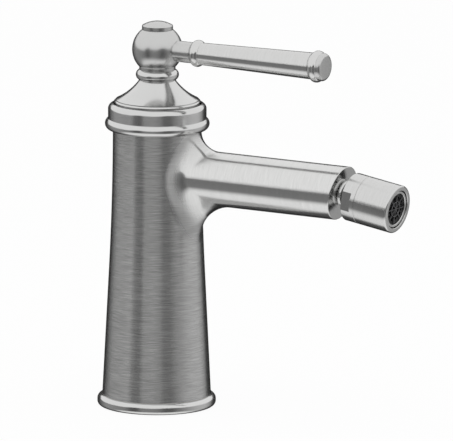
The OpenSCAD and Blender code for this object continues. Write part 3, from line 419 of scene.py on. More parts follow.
def plain(name, light, dark, rough, scale, metallic=0.0, bump=0.0, specular=0.5):
    """A moulded, rubbed or polished surface: soft mottling in colour, roughness and relief."""
    made, tree, shader = material(name)
    place = node(tree, "TexCoord").outputs["Object"]
    mottle = node(tree, "TexNoise", Vector=place, Scale=scale, Detail=4.0, Roughness=0.6).outputs["Fac"]
    wire(tree, shader, Metallic=metallic, Specular_IOR_Level=specular, Base_Color=tint(tree, mottle, dark, light),
         Roughness=spread(tree, mottle, *rough))
    if bump:
        grain = node(tree, "TexNoise", Vector=place, Scale=scale * GRAIN_FINER, Detail=2.0).outputs["Fac"]
        relief = node(tree, "Bump", Height=grain, Strength=bump, Distance=GRAIN_DEPTH)
        wire(tree, shader, Normal=relief.outputs["Normal"])
    return made


brushed_nickel = brushed("brushed_nickel", (0.68, 0.68, 0.675), (0.60, 0.60, 0.595), (0.15, 0.19), 0.02)
# The column's dark tone, 0.41 against 0.60 on the other brushed nickel, is partly real brush streaks and partly painted
# shade that darkens the column.
brushed_casting_painted_shading = brushed_both_ways("brushed_casting_painted_shading", (0.67, 0.67, 0.665), (0.41, 0.41, 0.405), (0.35, 0.43), 0.03)
satin_nickel = plain("satin_nickel", (0.60, 0.60, 0.595), (0.57, 0.57, 0.565), (0.23, 0.28), 60.0, 1.0)
polished_nickel = plain("polished_nickel", (0.66, 0.66, 0.655), (0.63, 0.63, 0.625), (0.14, 0.18), 60.0, 1.0)
raw_brass = plain("raw_brass", (0.76, 0.60, 0.33), (0.62, 0.47, 0.25), (0.30, 0.45), 220.0, 1.0, 0.06)
drawn_copper = plain("drawn_copper", (0.78, 0.47, 0.32), (0.66, 0.36, 0.24), (0.25, 0.40), 160.0, 1.0, 0.03)
bright_steel = plain("bright_steel", (0.62, 0.63, 0.65), (0.52, 0.53, 0.55), (0.18, 0.30), 240.0, 1.0, 0.03)
black_rubber = plain("black_rubber", (0.035, 0.035, 0.036), (0.02, 0.02, 0.021), (0.55, 0.75), 300.0, 0.0, 0.20)
white_moulding = plain("white_moulding", (0.84, 0.84, 0.81), (0.78, 0.78, 0.75), (0.35, 0.50), 180.0, 0.0, 0.05)
black_moulding = plain(
    "black_moulding", (0.012, 0.012, 0.013), (0.007, 0.007, 0.008), (0.35, 0.50), 260.0, 0.0, 0.05, 0.3,
)
lapped_ceramic = plain("lapped_ceramic", (0.92, 0.91, 0.87), (0.88, 0.87, 0.83), (0.12, 0.22), 120.0)
grey_moulding = plain("grey_moulding", (0.13, 0.13, 0.133), (0.09, 0.09, 0.093), (0.25, 0.40), 240.0, 0.0, 0.04)

FINISHES = {
    "brushed_nickel": satin_nickel, "brass": raw_brass, "copper": drawn_copper, "steel": bright_steel,
    "rubber": black_rubber, "white_plastic": white_moulding, "black_plastic": black_moulding,
    "ceramic": lapped_ceramic,
}
for part in frame["record"]["subparts"]:
    slots = frame["nodes"][part["node"]].data.materials
    slots.clear()
    slots.append(FINISHES[part["material_slot"]])


# Column with spout

TAPER = (COLUMN_BASE_R - COLUMN_TOP_R) / (TAPER_Z - FOOT_H + (COLUMN_TOP_Z - TAPER_Z) / 2)
TAPER_TOP_R = COLUMN_BASE_R - TAPER * (TAPER_Z - FOOT_H)
ARC_D = TAPER_TOP_R - COLUMN_TOP_R
ARC_R = ((COLUMN_TOP_Z - TAPER_Z) ** 2 + ARC_D ** 2) / (2 * ARC_D)
BLEND_LINES, BLEND_ROWS, TUBE_ROWS, RIM_ROWS, SKIRT_ROWS, BACK_LINES, LOW_ROWS = 288, 30, 30, 6, 8, 160, 40
PATCH_TURN, PATCH_LOW, PATCH_MIDDLE, PATCH_SCALE = math.radians(72.0), TAPER_Z, SPOUT_Z - 6.0, 60.0
TINY = 1e-9
ROUND_U, ROUND = np.linspace(0.0, 1.0, BLEND_LINES + 1), full_turn(BLEND_LINES)
ROUND[-1] = ROUND[0]
ROUND_SIN, ROUND_COS = np.sin(ROUND), np.cos(ROUND)


def column_r(z):
    drop = COLUMN_TOP_Z - np.clip(z, TAPER_Z, COLUMN_TOP_Z)
    curved = COLUMN_TOP_R + ARC_R - np.sqrt(ARC_R ** 2 - drop ** 2)
    return np.where(z < TAPER_Z, COLUMN_BASE_R - TAPER * (z - FOOT_H), curved)


def column_slope(z):
    drop = COLUMN_TOP_Z - np.clip(z, TAPER_Z, COLUMN_TOP_Z)
    return np.where(z < TAPER_Z, TAPER, drop / np.sqrt(ARC_R ** 2 - drop ** 2))


def on_column(turn, z):
    """Places and normals on the column at an angle and a height."""
    r = column_r(z)
    slope = column_slope(z)
    place = stacked(r * np.cos(turn), r * np.sin(turn), z)
    normal = stacked(np.cos(turn), np.sin(turn), slope)
    return place, unit(normal)


def column_uv(turn, z):
    return stacked(turn / (2 * math.pi), z / UV_RUN)


def rolling_ball():
    """Ball that rolls between spout and column, for each angle round the spout: radius, centre and ways to both."""
    r = BLEND_TOP_R + (BLEND_LOW_R - BLEND_TOP_R) * (1 - ROUND_COS) / 2
    y, z = (SPOUT_R + r) * ROUND_SIN, SPOUT_Z + (SPOUT_R + r) * ROUND_COS
    touch_z = z.copy()
    for _ in range(6):
        slope = column_slope(touch_z)
        touch_z = z - r * slope / np.sqrt(1 + slope ** 2)
    slope = column_slope(touch_z)
    level = 1 / np.sqrt(1 + slope ** 2)
    reach = column_r(touch_z) + r * level
    x = np.sqrt(reach ** 2 - y ** 2)
    to_spout = stacked(0 * ROUND_SIN, -ROUND_SIN, -ROUND_COS)
    to_column = stacked(-x / reach * level, -y / reach * level, -slope * level)
    return r[:, None], stacked(x, y, z), to_spout, to_column


def spout_blend(skin):
    """Blend from spout to column: its rows, their normals, and which lines the column's top cuts off."""
    r, centre, to_spout, to_column = rolling_ball()
    bend = np.arccos(np.clip(np.einsum("ij,ij->i", to_spout, to_column), -1, 1))

    def rolled(t):
        """Direction from the ball's centre at a share t of the way from spout to column."""
        left = np.sin((1 - t) * bend)[..., None] * to_spout
        return (left + np.sin(t * bend)[..., None] * to_column) / np.sin(bend)[:, None]

    cut = (centre + r * to_column)[:, 2] > COLUMN_TOP_Z
    low, high = np.zeros_like(bend), np.ones_like(bend)
    for _ in range(50):
        half = (low + high) / 2
        above = (centre + r * rolled(half))[:, 2] > COLUMN_TOP_Z
        high, low = np.where(above, half, high), np.where(above, low, half)
    shares = np.linspace(0.0, 1.0, BLEND_ROWS + 1)[:, None] * np.where(cut, low, 1.0)
    toward = np.stack([rolled(t) for t in shares])
    places = centre + r * toward
    places[-1, cut, 2] = COLUMN_TOP_Z
    places[:, -1] = places[:, 0]
    uv = stacked(ROUND_U, shares * (r[:, 0] * bend) / UV_RUN)
    smooth = 1 - shares
    skin.grid(places, -toward, uv, places, smooth * smooth * (3 - 2 * smooth))
    return places, -toward, cut


def spout_tube(skin, first):
    """Spout from the blend to its slanted end, with a small round at the rim: the rim's last row."""
    slant = math.tan(SPOUT_CUT)
    end_x = SPOUT_REACH + SPOUT_R * ROUND_COS * slant - SPOUT_EDGE
    tube_x = first[:, 0] + (end_x - first[:, 0]) * np.linspace(0.0, 1.0, TUBE_ROWS + 1)[:, None]
    facing = stacked(0 * tube_x, ROUND_SIN, ROUND_COS)
    tube = stacked(tube_x, SPOUT_R * ROUND_SIN, SPOUT_Z + SPOUT_R * ROUND_COS)
    tube[0] = first
    tube[:, -1] = tube[:, 0]
    uv = stacked(ROUND_U, -tube_x / UV_RUN)
    skin.grid(tube, facing, uv, tube, np.ones(tube_x.shape))
    rim, rim_n = [], []
    for t in np.linspace(0.0, math.pi / 2, RIM_ROWS):
        radius = SPOUT_R - SPOUT_EDGE * (1 - math.cos(t))
        rim_x = SPOUT_REACH + radius * ROUND_COS * slant - SPOUT_EDGE * (1 - math.sin(t))
        rim.append(stacked(rim_x, radius * ROUND_SIN, SPOUT_Z + radius * ROUND_COS))
        rim_n.append(math.cos(t) * facing[0] + math.sin(t) * STEM_AXIS)
    rim, rim_n = np.array(rim), np.array(rim_n)
    rim[0], rim[:, -1] = tube[-1], rim[:, 0]
    rim_u = np.broadcast_to(ROUND_U, rim.shape[:2])
    skin.grid(rim, rim_n, stacked(rim_u, 0 * rim_u), rim, np.ones(rim.shape[:2]), finish=1)
    return rim[-1]


def spout_face(skin, rim):
    """End face of the spout, with the nipple's hole."""
    hole_r, hole_z = NIPPLE_R + SLIP, NIPPLE_SEAT[2]
    wall_n = stacked(0 * ROUND_SIN, -ROUND_SIN, -ROUND_COS)
    floor_n = np.broadcast_to(STEM_AXIS, wall_n.shape)
    face, facing = [rim], [floor_n]
    for radius, depth, normal in (
        (hole_r, 0.0, floor_n), (hole_r, 0.0, wall_n), (hole_r, NIPPLE_HOLE_L, wall_n),
        (hole_r, NIPPLE_HOLE_L, floor_n), (0.0, NIPPLE_HOLE_L, floor_n),
    ):
        ring_z = hole_z + radius * ROUND_COS
        ring_x = SPOUT_REACH + (ring_z - SPOUT_Z) * math.tan(SPOUT_CUT) - depth
        ring = stacked(ring_x, radius * ROUND_SIN, ring_z)
        ring[-1] = ring[0]
        face.append(ring)
        facing.append(normal)
    face = np.array(face)
    skin.grid(face, np.array(facing), face[..., 1:] / UV_RUN, face, finish=1)


def column_skirt(skin, edge, edge_n, cut):
    """Column round the blend: lines run on from the blend's edge to the edge of a patch, which is given back."""
    turn, start_z = np.arctan2(edge[:, 1], edge[:, 0]), edge[:, 2]
    away_z = start_z - PATCH_MIDDLE
    with np.errstate(divide="ignore"):
        to_side = np.where(np.abs(turn) > TINY, PATCH_TURN / np.abs(turn), np.inf)
        to_top = np.where(away_z > TINY, (COLUMN_TOP_Z - PATCH_MIDDLE) / np.maximum(away_z, TINY), np.inf)
        to_low = np.where(away_z < -TINY, (PATCH_MIDDLE - PATCH_LOW) / np.maximum(-away_z, TINY), np.inf)
    stretch = np.minimum(to_side, np.minimum(to_top, to_low))
    patch_turn, patch_z = turn * stretch, PATCH_MIDDLE + away_z * stretch
    half = BLEND_LINES // 2 + 1
    for corner_z in (COLUMN_TOP_Z, PATCH_LOW):
        near = np.abs(patch_turn[:half] - PATCH_TURN) / PATCH_TURN + np.abs(patch_z[:half] - corner_z) / PATCH_SCALE
        near[cut[:half]] = np.inf
        k = int(np.argmin(near))
        for j, sign in ((k, 1.0), (BLEND_LINES - k, -1.0)):
            patch_turn[j], patch_z[j] = sign * PATCH_TURN, corner_z
    patch_turn[cut], patch_z[cut] = turn[cut], start_z[cut]
    rows = np.linspace(0.0, 1.0, SKIRT_ROWS + 1)[:, None]
    skirt_turn, skirt_z = turn + (patch_turn - turn) * rows, start_z + (patch_z - start_z) * rows
    skirt, skirt_n = on_column(skirt_turn, skirt_z)
    skirt[:, cut], skirt_n[:, cut] = edge[cut], edge_n[cut]
    skirt[0] = edge
    skirt[:, -1] = skirt[:, 0]
    skin.grid(skirt, skirt_n, column_uv(skirt_turn, skirt_z), skirt)
    return skirt[-1], patch_turn, patch_z


def column_rest(skin, patch, patch_turn, patch_z, cut):
    """Rest of the column, on the patch's own edge points: its top and its lowest ring, each with its angles."""
    def chain(mask, key):
        return sorted(np.flatnonzero(mask[:BLEND_LINES]), key=lambda i: key[i])

    at_side = np.abs(np.abs(patch_turn) - PATCH_TURN) < TINY
    left = chain(at_side & (patch_turn > 0) & ~cut, patch_z)
    right = chain(at_side & (patch_turn < 0) & ~cut, patch_z)
    side_z = patch_z[left][:, None]
    back_turn = np.linspace(PATCH_TURN, 2 * math.pi - PATCH_TURN, BACK_LINES + 1)
    back, back_n = on_column(back_turn, side_z)
    back[:, 0], back[:, -1] = patch[left], patch[right]
    skin.grid(back, back_n, column_uv(back_turn, side_z), back)
    bottom = chain((np.abs(patch_z - PATCH_LOW) < TINY) & ~cut, patch_turn)
    low_turn = np.concatenate([patch_turn[bottom], back_turn[1:]])
    low_z = np.linspace(FOOT_H, PATCH_LOW, LOW_ROWS)[:, None]
    lower, lower_n = on_column(low_turn, low_z)
    lower[-1] = np.concatenate([patch[bottom], back[0, 1:]])
    lower[:, -1] = lower[:, 0]
    skin.grid(lower, lower_n, column_uv(low_turn, low_z), lower)
    top = chain((np.abs(patch_z - COLUMN_TOP_Z) < TINY) | cut, patch_turn)
    top_turn = np.concatenate([patch_turn[top], back_turn[1:]])
    return (np.concatenate([patch[top], back[-1, 1:]]), top_turn), (lower[0], low_turn)


def column_ends(skin, top, bottom):
    """Shoulder, spigot and cartridge seat above; foot spigot and hollow below."""
    groove_r, groove_low, groove_top = HOLLOW_R + CLIP_GROOVE, CLIP_Z - CLIP_H - SLIP, CLIP_Z + SLIP
    spigot_low = GASKET_H + SEAT_GAP
    upper_path = [
        (COLLAR_SPIGOT_R, COLUMN_TOP_Z), (COLLAR_SPIGOT_R, SPIGOT_TOP_Z), (NUT_BORE_R, SPIGOT_TOP_Z),
        (NUT_BORE_R, NUT_Z - SLIP), (CHAMBER_R, NUT_Z - SLIP), (CHAMBER_R, SEAT_Z), (0.0, SEAT_Z),
    ]
    under_path = [
        (0.0, WEB_Z), (HOLLOW_R, WEB_Z), (HOLLOW_R, groove_top), (groove_r, groove_top), (groove_r, groove_low),
        (HOLLOW_R, groove_low), (HOLLOW_R, spigot_low), (FOOT_SPIGOT_R, spigot_low), (FOOT_SPIGOT_R, FOOT_H),
    ]
    for path, (ring, turns), is_top in ((upper_path, top, True), (under_path, bottom, False)):
        grid, facing, uvs, flat = swept(*outline(path, False), np.zeros(3), UP, FORWARD, turns)
        grid[:, -1], facing[:, -1] = grid[:, 0], facing[:, 0]
        skin.grid(grid, facing, uvs, flat, finish=2)
        joined = np.stack((ring, grid[0]) if is_top else (grid[-1], ring))
        joined[:, -1] = joined[:, 0]
        level_n = np.broadcast_to(UP if is_top else -UP, joined.shape)
        skin.grid(joined, level_n, uvs[:2], joined, finish=2)


def column_with_spout():
    skin = Skin()
    blend, blend_n, cut = spout_blend(skin)
    spout_face(skin, spout_tube(skin, blend[0]))
    patch = column_skirt(skin, blend[-1], blend_n[-1], cut)
    column_ends(skin, *column_rest(skin, *patch, cut))
    mesh = skin.mesh("column_with_spout", [brushed_casting_painted_shading, polished_nickel, raw_brass])
    return put("column_with_spout", mesh, "body", "brushed_nickel", "body_casting")


column_with_spout()


# Foot and collar

ON_AXIS = (np.zeros(3), UP, FORWARD)
foot_top = FOOT_H - SEAT_GAP
gasket_seat = GASKET_H + SEAT_GAP
turned_piece(
    "foot_ring", "body", "base_ring",
    [(GASKET_R + SLIP, 0.0, SOFT_EDGE), *arc(FOOT_R - FOOT_LOW_ROUND, FOOT_LOW_ROUND, FOOT_LOW_ROUND, -90, 0),
     *arc(FOOT_R - FOOT_ROUND, foot_top - FOOT_ROUND, FOOT_ROUND, 0, 90), (FOOT_SPIGOT_R + SLIP, foot_top, EDGE),
     (FOOT_SPIGOT_R + SLIP, gasket_seat, EDGE), (GASKET_R + SLIP, gasket_seat, EDGE)],
    [polished_nickel], *ON_AXIS, segments=256,
)
collar_low = COLUMN_TOP_Z + SEAT_GAP
bead_middle_r, bead_middle_z = BAND_R + BEAD_PROUD - BEAD_ROUND, COLUMN_TOP_Z + BEAD_ROUND
bead_low_r = bead_middle_r + math.sqrt(BEAD_ROUND ** 2 - (bead_middle_z - collar_low) ** 2)
shoulder_r, shoulder_z = BAND_R - SHOULDER_ROUND, COLLAR_TOP_Z - SHOULDER_ROUND
shoulder_end = math.degrees(math.acos((MOUTH_R - shoulder_r) / SHOULDER_ROUND))
turned_piece(
    "trim_collar", "body", "collar",
    [(COLLAR_SPIGOT_R + SLIP, collar_low, EDGE), *bead(bead_middle_r, bead_middle_z, BEAD_ROUND, bead_low_r, BAND_R),
     *arc(shoulder_r, shoulder_z, SHOULDER_ROUND, 0, shoulder_end, SMOOTH, 0.0), (MOUTH_R, SPIGOT_TOP_Z + SLIP, EDGE),
     (COLLAR_SPIGOT_R + SLIP, SPIGOT_TOP_Z + SLIP, EDGE)],
    [polished_nickel, brushed_nickel], *ON_AXIS, segments=256,
    pick=lambda r, z: int(abs(r - BAND_R) < 0.02),
)


# Handle

def bell_outline():
    skirt_z = PIVOT_Z - BELL_R * math.sin(math.radians(SKIRT_DEG))
    hollow_r = BELL_R - SKIRT_T
    skirt_in = (math.sqrt(hollow_r ** 2 - (PIVOT_Z - skirt_z) ** 2), skirt_z)
    ceiling_z = PIVOT_Z + BELL_CEILING
    rim_low = RIM_Z - BELL_RIM_ROUND
    rim_r = BELL_R - BELL_RIM_ROUND
    rim_start = math.degrees(math.asin((rim_low - PIVOT_Z) / BELL_R))
    span = np.array([BELL_R - NECK_R, RIM_Z - NECK_Z])
    chord = np.linalg.norm(span)
    rise = math.sqrt(BELL_SWEEP_R ** 2 - chord ** 2 / 4)
    sweep_r = (BELL_R + NECK_R) / 2 - rise * span[1] / chord
    sweep_z = (RIM_Z + NECK_Z) / 2 + rise * span[0] / chord
    step_z = sweep_z - math.sqrt(BELL_SWEEP_R ** 2 - (sweep_r - rim_r) ** 2)
    well_top = PIVOT_Z + math.sqrt(BELL_INNER_R ** 2 - SPINDLE_BORE_R ** 2)
    well_r = math.sqrt(BELL_INNER_R ** 2 - BELL_CEILING ** 2)
    ceiling_r = math.sqrt(hollow_r ** 2 - BELL_CEILING ** 2)
    return [
        (*skirt_in, EDGE), *arc(0.0, PIVOT_Z, BELL_R, -SKIRT_DEG, rim_start, 0.0),
        *arc(rim_r, rim_low, BELL_RIM_ROUND, 0, 90, SMOOTH, 0.0, 10),
        *bow(sweep_r, sweep_z, (rim_r, step_z), (NECK_R, NECK_Z), 40), (SPINDLE_BORE_R, NECK_Z, EDGE),
        *bow(0.0, PIVOT_Z, (SPINDLE_BORE_R, well_top), (well_r, ceiling_z)),
        *bow(0.0, PIVOT_Z, (ceiling_r, ceiling_z), skirt_in),
    ]


turned_piece("handle_bell_skin", "lever", "handle_bell", bell_outline(), [polished_nickel], *ON_AXIS, segments=256)
neck_low, neck_middle_r = NECK_Z + SEAT_GAP, NECK_BEAD_R - NECK_BEAD_ROUND
turned_piece(
    "neck_ring", "lever", "neck_bead",
    [(SPINDLE_BORE_R, neck_low, EDGE), (NECK_R, neck_low, 0.0),
     *bead(neck_middle_r, NECK_Z + NECK_BEAD_H / 2, NECK_BEAD_ROUND, NECK_R, NECK_R), (NECK_R, BEAD_TOP_Z, 0.0),
     (SPINDLE_BORE_R, BEAD_TOP_Z, EDGE)],
    [polished_nickel], *ON_AXIS,
)
ball_foot = BEAD_TOP_Z + SEAT_GAP
turned_piece(
    "lever_ball", "lever", "handle_ball",
    [(0.0, ball_foot), (NECK_R, ball_foot, EDGE),
     *bow(0.0, BALL_Z, (NECK_R, BALL_Z - math.sqrt(BALL_R ** 2 - NECK_R ** 2)), (CAP_R, CAP_Z), 64), (0.0, CAP_Z)],
    [satin_nickel], *ON_AXIS, closed=False, segments=224,
)
cap_low, dome_r = CAP_Z + SEAT_GAP, (CAP_R ** 2 + CAP_DOME ** 2) / (2 * CAP_DOME)
dome_z = cap_low + CAP_H + CAP_DOME - dome_r
turned_piece(
    "ball_cap_disc", "lever", "ball_cap",
    [(0.0, cap_low), (CAP_R, cap_low, ROD_EDGE), (CAP_R, cap_low + CAP_H, RIM_EDGE), *arc(0.0, dome_z, dome_r, 61, 90)],
    [satin_nickel], *ON_AXIS, closed=False,
)


# Lever

def lever_piece(name, solid, paint, path):
    """A full round piece, turned along the lever."""
    turned_piece(name, "lever", solid, path, [paint], LEVER_ROOT, FORWARD, UP, closed=False, segments=128)


def lever_ring(name, solid, start, length, outer_r, low_r, high_r):
    """A turned ring on the lever whose outside is a half round."""
    start, half = start + SEAT_GAP, (length - SEAT_GAP) / 2
    lever_piece(name, solid, polished_nickel, [
        (0.0, start), (low_r, start, FINE_EDGE), *bead(outer_r - half, start + half, half, low_r, high_r),
        (high_r, start + 2 * half, FINE_EDGE), (0.0, start + 2 * half),
    ])


rod_x = math.sqrt(BALL_R ** 2 - (ROD_R + 2 * SLIP) ** 2)
lever_piece("lever_stem", "lever_rod", satin_nickel, [
    (0.0, rod_x), (ROD_R, rod_x, EDGE), (ROD_R, GRIP_COLLAR_X, ROD_EDGE), (0.0, GRIP_COLLAR_X),
])
lever_ring("grip_ring", "grip_collar", GRIP_COLLAR_X, GRIP_COLLAR_L, GRIP_COLLAR_R, ROD_R - SLIP, GRIP_R - SLIP)
lever_piece("grip_sleeve", "lever_grip", brushed_nickel, [
    (0.0, GRIP_X + SEAT_GAP), (GRIP_R, GRIP_X + SEAT_GAP, SOFT_EDGE), (GRIP_END_R, END_BEAD_X, SOFT_EDGE),
    (0.0, END_BEAD_X),
])
lever_ring("end_ring", "grip_end_bead", END_BEAD_X, END_BEAD_L, END_BEAD_R, GRIP_END_R - SLIP, END_CAP_R - SLIP)
end_round_r, end_round_x = END_CAP_R - END_CAP_ROUND, LEVER_TIP_X - END_CAP_ROUND
lever_piece("end_disc", "grip_end_cap", satin_nickel, [
    (0.0, END_CAP_X + SEAT_GAP), (END_CAP_R, END_CAP_X + SEAT_GAP, EDGE),
    *arc(end_round_r, end_round_x, END_CAP_ROUND, 0, 90), (0.0, LEVER_TIP_X, SMOOTH),
])


# Nozzle joint and nozzle

flange_round = NIPPLE_FLANGE_H / 2
flange_r, flange_z = NIPPLE_FLANGE_R - flange_round, flange_round + SEAT_GAP
stem_end = JOINT_OUT - math.sqrt(JOINT_BALL_R ** 2 - NIPPLE_STEM_R ** 2)
ball_front = JOINT_OUT + BALL_FACE
turned_piece(
    "joint_nipple", "body", "ball_nipple",
    [(0.0, -NIPPLE_TAIL), (NIPPLE_R, -NIPPLE_TAIL, EDGE), (NIPPLE_R, SEAT_GAP, 0.0),
     *arc(flange_r, flange_z, flange_round, -85, 90, 0.0, SMOOTH), (NIPPLE_STEM_R, 2 * flange_z - SEAT_GAP, STEM_EDGE),
     *bow(0.0, JOINT_OUT, (NIPPLE_STEM_R, stem_end), (math.sqrt(JOINT_BALL_R ** 2 - BALL_FACE ** 2), ball_front), 40),
     (NIPPLE_BORE_R, ball_front, EDGE), (NIPPLE_BORE_R, JOINT_OUT - JOINT_BALL_R, EDGE),
     (0.0, JOINT_OUT - JOINT_BALL_R)],
    [polished_nickel], NIPPLE_SEAT, STEM_AXIS, SIDE, closed=False, segments=160,
)


def swivel_with_flats():
    flat_half, flat_end = SWIVEL_FLATS / 2, SWIVEL_FLAT_L - SWIVEL_BACK
    lip_r = math.sqrt(CUP_R ** 2 - SWIVEL_LIP ** 2)
    thread_end = SWIVEL_FRONT + NOZZLE_THREAD_L
    path = [
        (lip_r, -SWIVEL_LIP, EDGE), (SWIVEL_MOUTH_R, -SWIVEL_BACK, SOFT_EDGE),
        *arc(NOZZLE_R - SWIVEL_ROUND, SWIVEL_ROUND - SWIVEL_BACK, SWIVEL_ROUND, -90, 0, steps=10),
        (NOZZLE_R, flat_end, SMOOTH), (NOZZLE_R, SWIVEL_FRONT, SOFT_EDGE), (NOZZLE_THREAD_R, SWIVEL_FRONT, EDGE),
        (NOZZLE_THREAD_R, thread_end, EDGE), (CUP_R, thread_end, EDGE),
        *bow(0.0, 0.0, (CUP_R, 0.0), (lip_r, -SWIVEL_LIP), 16)[:-1],
    ]
    places, normals = outline(path, True)
    step = int(np.argmin(np.abs(places[:, 0] - NOZZLE_R) + np.abs(places[:, 1] - flat_end)))
    places = np.insert(places, [step + 1] * 3, places[step], axis=0)
    normals = np.insert(normals, [step + 1] * 3, normals[step], axis=0)
    turns = full_turn(256)
    grid, facing, uvs, flat = swept(places, normals, JOINT, NOZZLE_AXIS, SIDE, turns)
    side = (grid - JOINT) @ SIDE
    behind = np.arange(len(places)) < step + 2
    proud = behind[:, None] & (np.abs(side) > flat_half) & (places[:, 0] > flat_half)[:, None]
    grid[proud] -= np.outer(side[proud] - np.sign(side[proud]) * flat_half, SIDE)
    facing[proud] = np.outer(np.sign(side[proud]), SIDE)
    for row in (step + 1, step + 2):
        facing[row] = -NOZZLE_AXIS
    grid[:, -1], facing[:, -1] = grid[:, 0], facing[:, 0]
    skin = Skin()
    skin.grid(grid, facing, uvs, flat)
    return put("swivel_ring", skin.mesh("swivel_ring", [brushed_nickel]), "nozzle", "brushed_nickel", "swivel_collar")


swivel_with_flats()
ALONG_NOZZLE = (JOINT, NOZZLE_AXIS, SIDE)
housing_back, bore_start = SWIVEL_FRONT + SEAT_GAP, SWIVEL_FRONT + NOZZLE_THREAD_L + SLIP
turned_piece(
    "nozzle_barrel", "nozzle", "aerator_housing",
    [(NOZZLE_THREAD_R + SLIP, housing_back, EDGE), (NOZZLE_R, housing_back, SOFT_EDGE),
     *arc(NOZZLE_R - OUTLET_ROUND, RIM_FACE - OUTLET_ROUND, OUTLET_ROUND, 0, 90, steps=12),
     (OUTLET_BORE_R, RIM_FACE, RIM_EDGE), (OUTLET_BORE_R, bore_start, EDGE),
     (NOZZLE_THREAD_R + SLIP, bore_start, EDGE)],
    [brushed_nickel, polished_nickel], *ALONG_NOZZLE, segments=224,
    pick=lambda r, z: int(z > RIM_FACE - OUTLET_ROUND),
)
ring_in, ring_back = OUTLET_RING_R - OUTLET_RING_T, COMB_FACE - COMB_H
turned_piece(
    "outlet_ring", "nozzle", "aerator_ring",
    [(ring_in, ring_back, EDGE), (OUTLET_RING_R, ring_back, EDGE), (OUTLET_RING_R, RING_FACE, RING_EDGE),
     (ring_in, RING_FACE, RING_EDGE)],
    [polished_nickel], *ALONG_NOZZLE,
)


# Repeated details, made with geometry nodes

def tree_with(name, **inputs):
    tree = bpy.data.node_groups.new(name, "GeometryNodeTree")
    for label, kind in inputs.items():
        tree.interface.new_socket(label, in_out="INPUT", socket_type="NodeSocket" + kind)
    tree.interface.new_socket("Geometry", in_out="OUTPUT", socket_type="NodeSocketGeometry")
    return tree, tree.nodes.new("NodeGroupInput").outputs, tree.nodes.new("NodeGroupOutput")


def finish_tree(tree, out, geometry, paint):
    real = node(tree, "GeometryNodeRealizeInstances", Geometry=geometry)
    painted = node(tree, "GeometryNodeSetMaterial", Geometry=real.outputs[0], Material=paint)
    tree.links.new(painted.outputs[0], out.inputs[0])


def grown(name, tree, values, place, body, slot, *replaced):
    """A piece from a node tree with its named inputs, as a plain mesh in its place."""
    holder = new_object(name + "_holder", bpy.data.meshes.new(name + "_holder"))
    modifier = holder.modifiers.new("grow", "NODES")
    modifier.node_group = tree
    for item in tree.interface.items_tree:
        if item.in_out == "INPUT" and item.name in values:
            modifier[item.identifier] = values[item.name]
    graph = bpy.context.evaluated_depsgraph_get()
    mesh = bpy.data.meshes.new_from_object(holder.evaluated_get(graph))
    mesh.name = name
    mesh.transform(place)
    holder.modifiers.clear()
    bpy.data.objects.remove(holder)
    return put(name, mesh, body, slot, *replaced)


def frame_matrix(origin, axis, ref):
    across = np.cross(axis, ref)
    rotation = Matrix((Vector(ref), Vector(across), Vector(axis))).transposed().to_4x4()
    return Matrix.Translation(Vector(origin * MM)) @ rotation


def star_tree():
    tree, given, out = tree_with("outlet_star", Spokes="Int", Radius="Float", Rib="Float", Depth="Float", Rings="Int",
                                 Material="Material")
    points = node(tree, "GeometryNodePoints", Count=given["Spokes"])
    size = node(tree, "CombineXYZ", X=given["Radius"], Y=given["Rib"], Z=given["Depth"])
    bar = node(tree, "GeometryNodeMeshCube", Size=size.outputs[0])
    shift = node(tree, "CombineXYZ", X=reckon(tree, "MULTIPLY", given["Radius"], 0.5))
    outward = node(tree, "GeometryNodeTransform", Geometry=bar.outputs["Mesh"], Translation=shift.outputs[0])
    index = node(tree, "GeometryNodeInputIndex").outputs[0]
    step = reckon(tree, "DIVIDE", 2 * math.pi, given["Spokes"])
    turn = node(tree, "CombineXYZ", Z=reckon(tree, "MULTIPLY", index, step))
    spokes = node(tree, "GeometryNodeInstanceOnPoints", Points=points.outputs[0], Instance=outward.outputs[0],
                  Rotation=turn.outputs[0])
    hoops = node(tree, "GeometryNodePoints", Count=given["Rings"])
    circle = node(tree, "GeometryNodeCurvePrimitiveCircle", Resolution=64, Radius=given["Radius"])
    scale = reckon(tree, "DIVIDE", reckon(tree, "ADD", index, 1.0), reckon(tree, "ADD", given["Rings"], 1.0))
    rings = node(tree, "GeometryNodeInstanceOnPoints", Points=hoops.outputs[0], Instance=circle.outputs[0],
                 Scale=scale)
    loose = node(tree, "GeometryNodeRealizeInstances", Geometry=rings.outputs[0])
    section = node(tree, "GeometryNodeCurvePrimitiveQuadrilateral", Width=given["Rib"], Height=given["Depth"])
    hoop = node(tree, "GeometryNodeCurveToMesh", Curve=loose.outputs[0], Profile_Curve=section.outputs[0])
    both = node(tree, "GeometryNodeJoinGeometry")
    tree.links.new(hoop.outputs[0], both.inputs[0])
    tree.links.new(spokes.outputs[0], both.inputs[0])
    finish_tree(tree, out, both.outputs[0], given["Material"])
    return tree


def thread_tree():
    tree, given, out = tree_with("screw_thread", Turns="Float", Radius="Float", Length="Float", Ridge="Float",
                                 Material="Material")
    helix = node(tree, "GeometryNodeCurveSpiral", Resolution=48, Rotations=given["Turns"], Start_Radius=given["Radius"],
                 End_Radius=given["Radius"], Height=given["Length"])
    section = node(tree, "GeometryNodeCurvePrimitiveCircle", Resolution=4, Radius=given["Ridge"])
    ridge = node(tree, "GeometryNodeCurveToMesh", Curve=helix.outputs[0], Profile_Curve=section.outputs[0],
                 Fill_Caps=True)
    finish_tree(tree, out, ridge.outputs[0], given["Material"])
    return tree


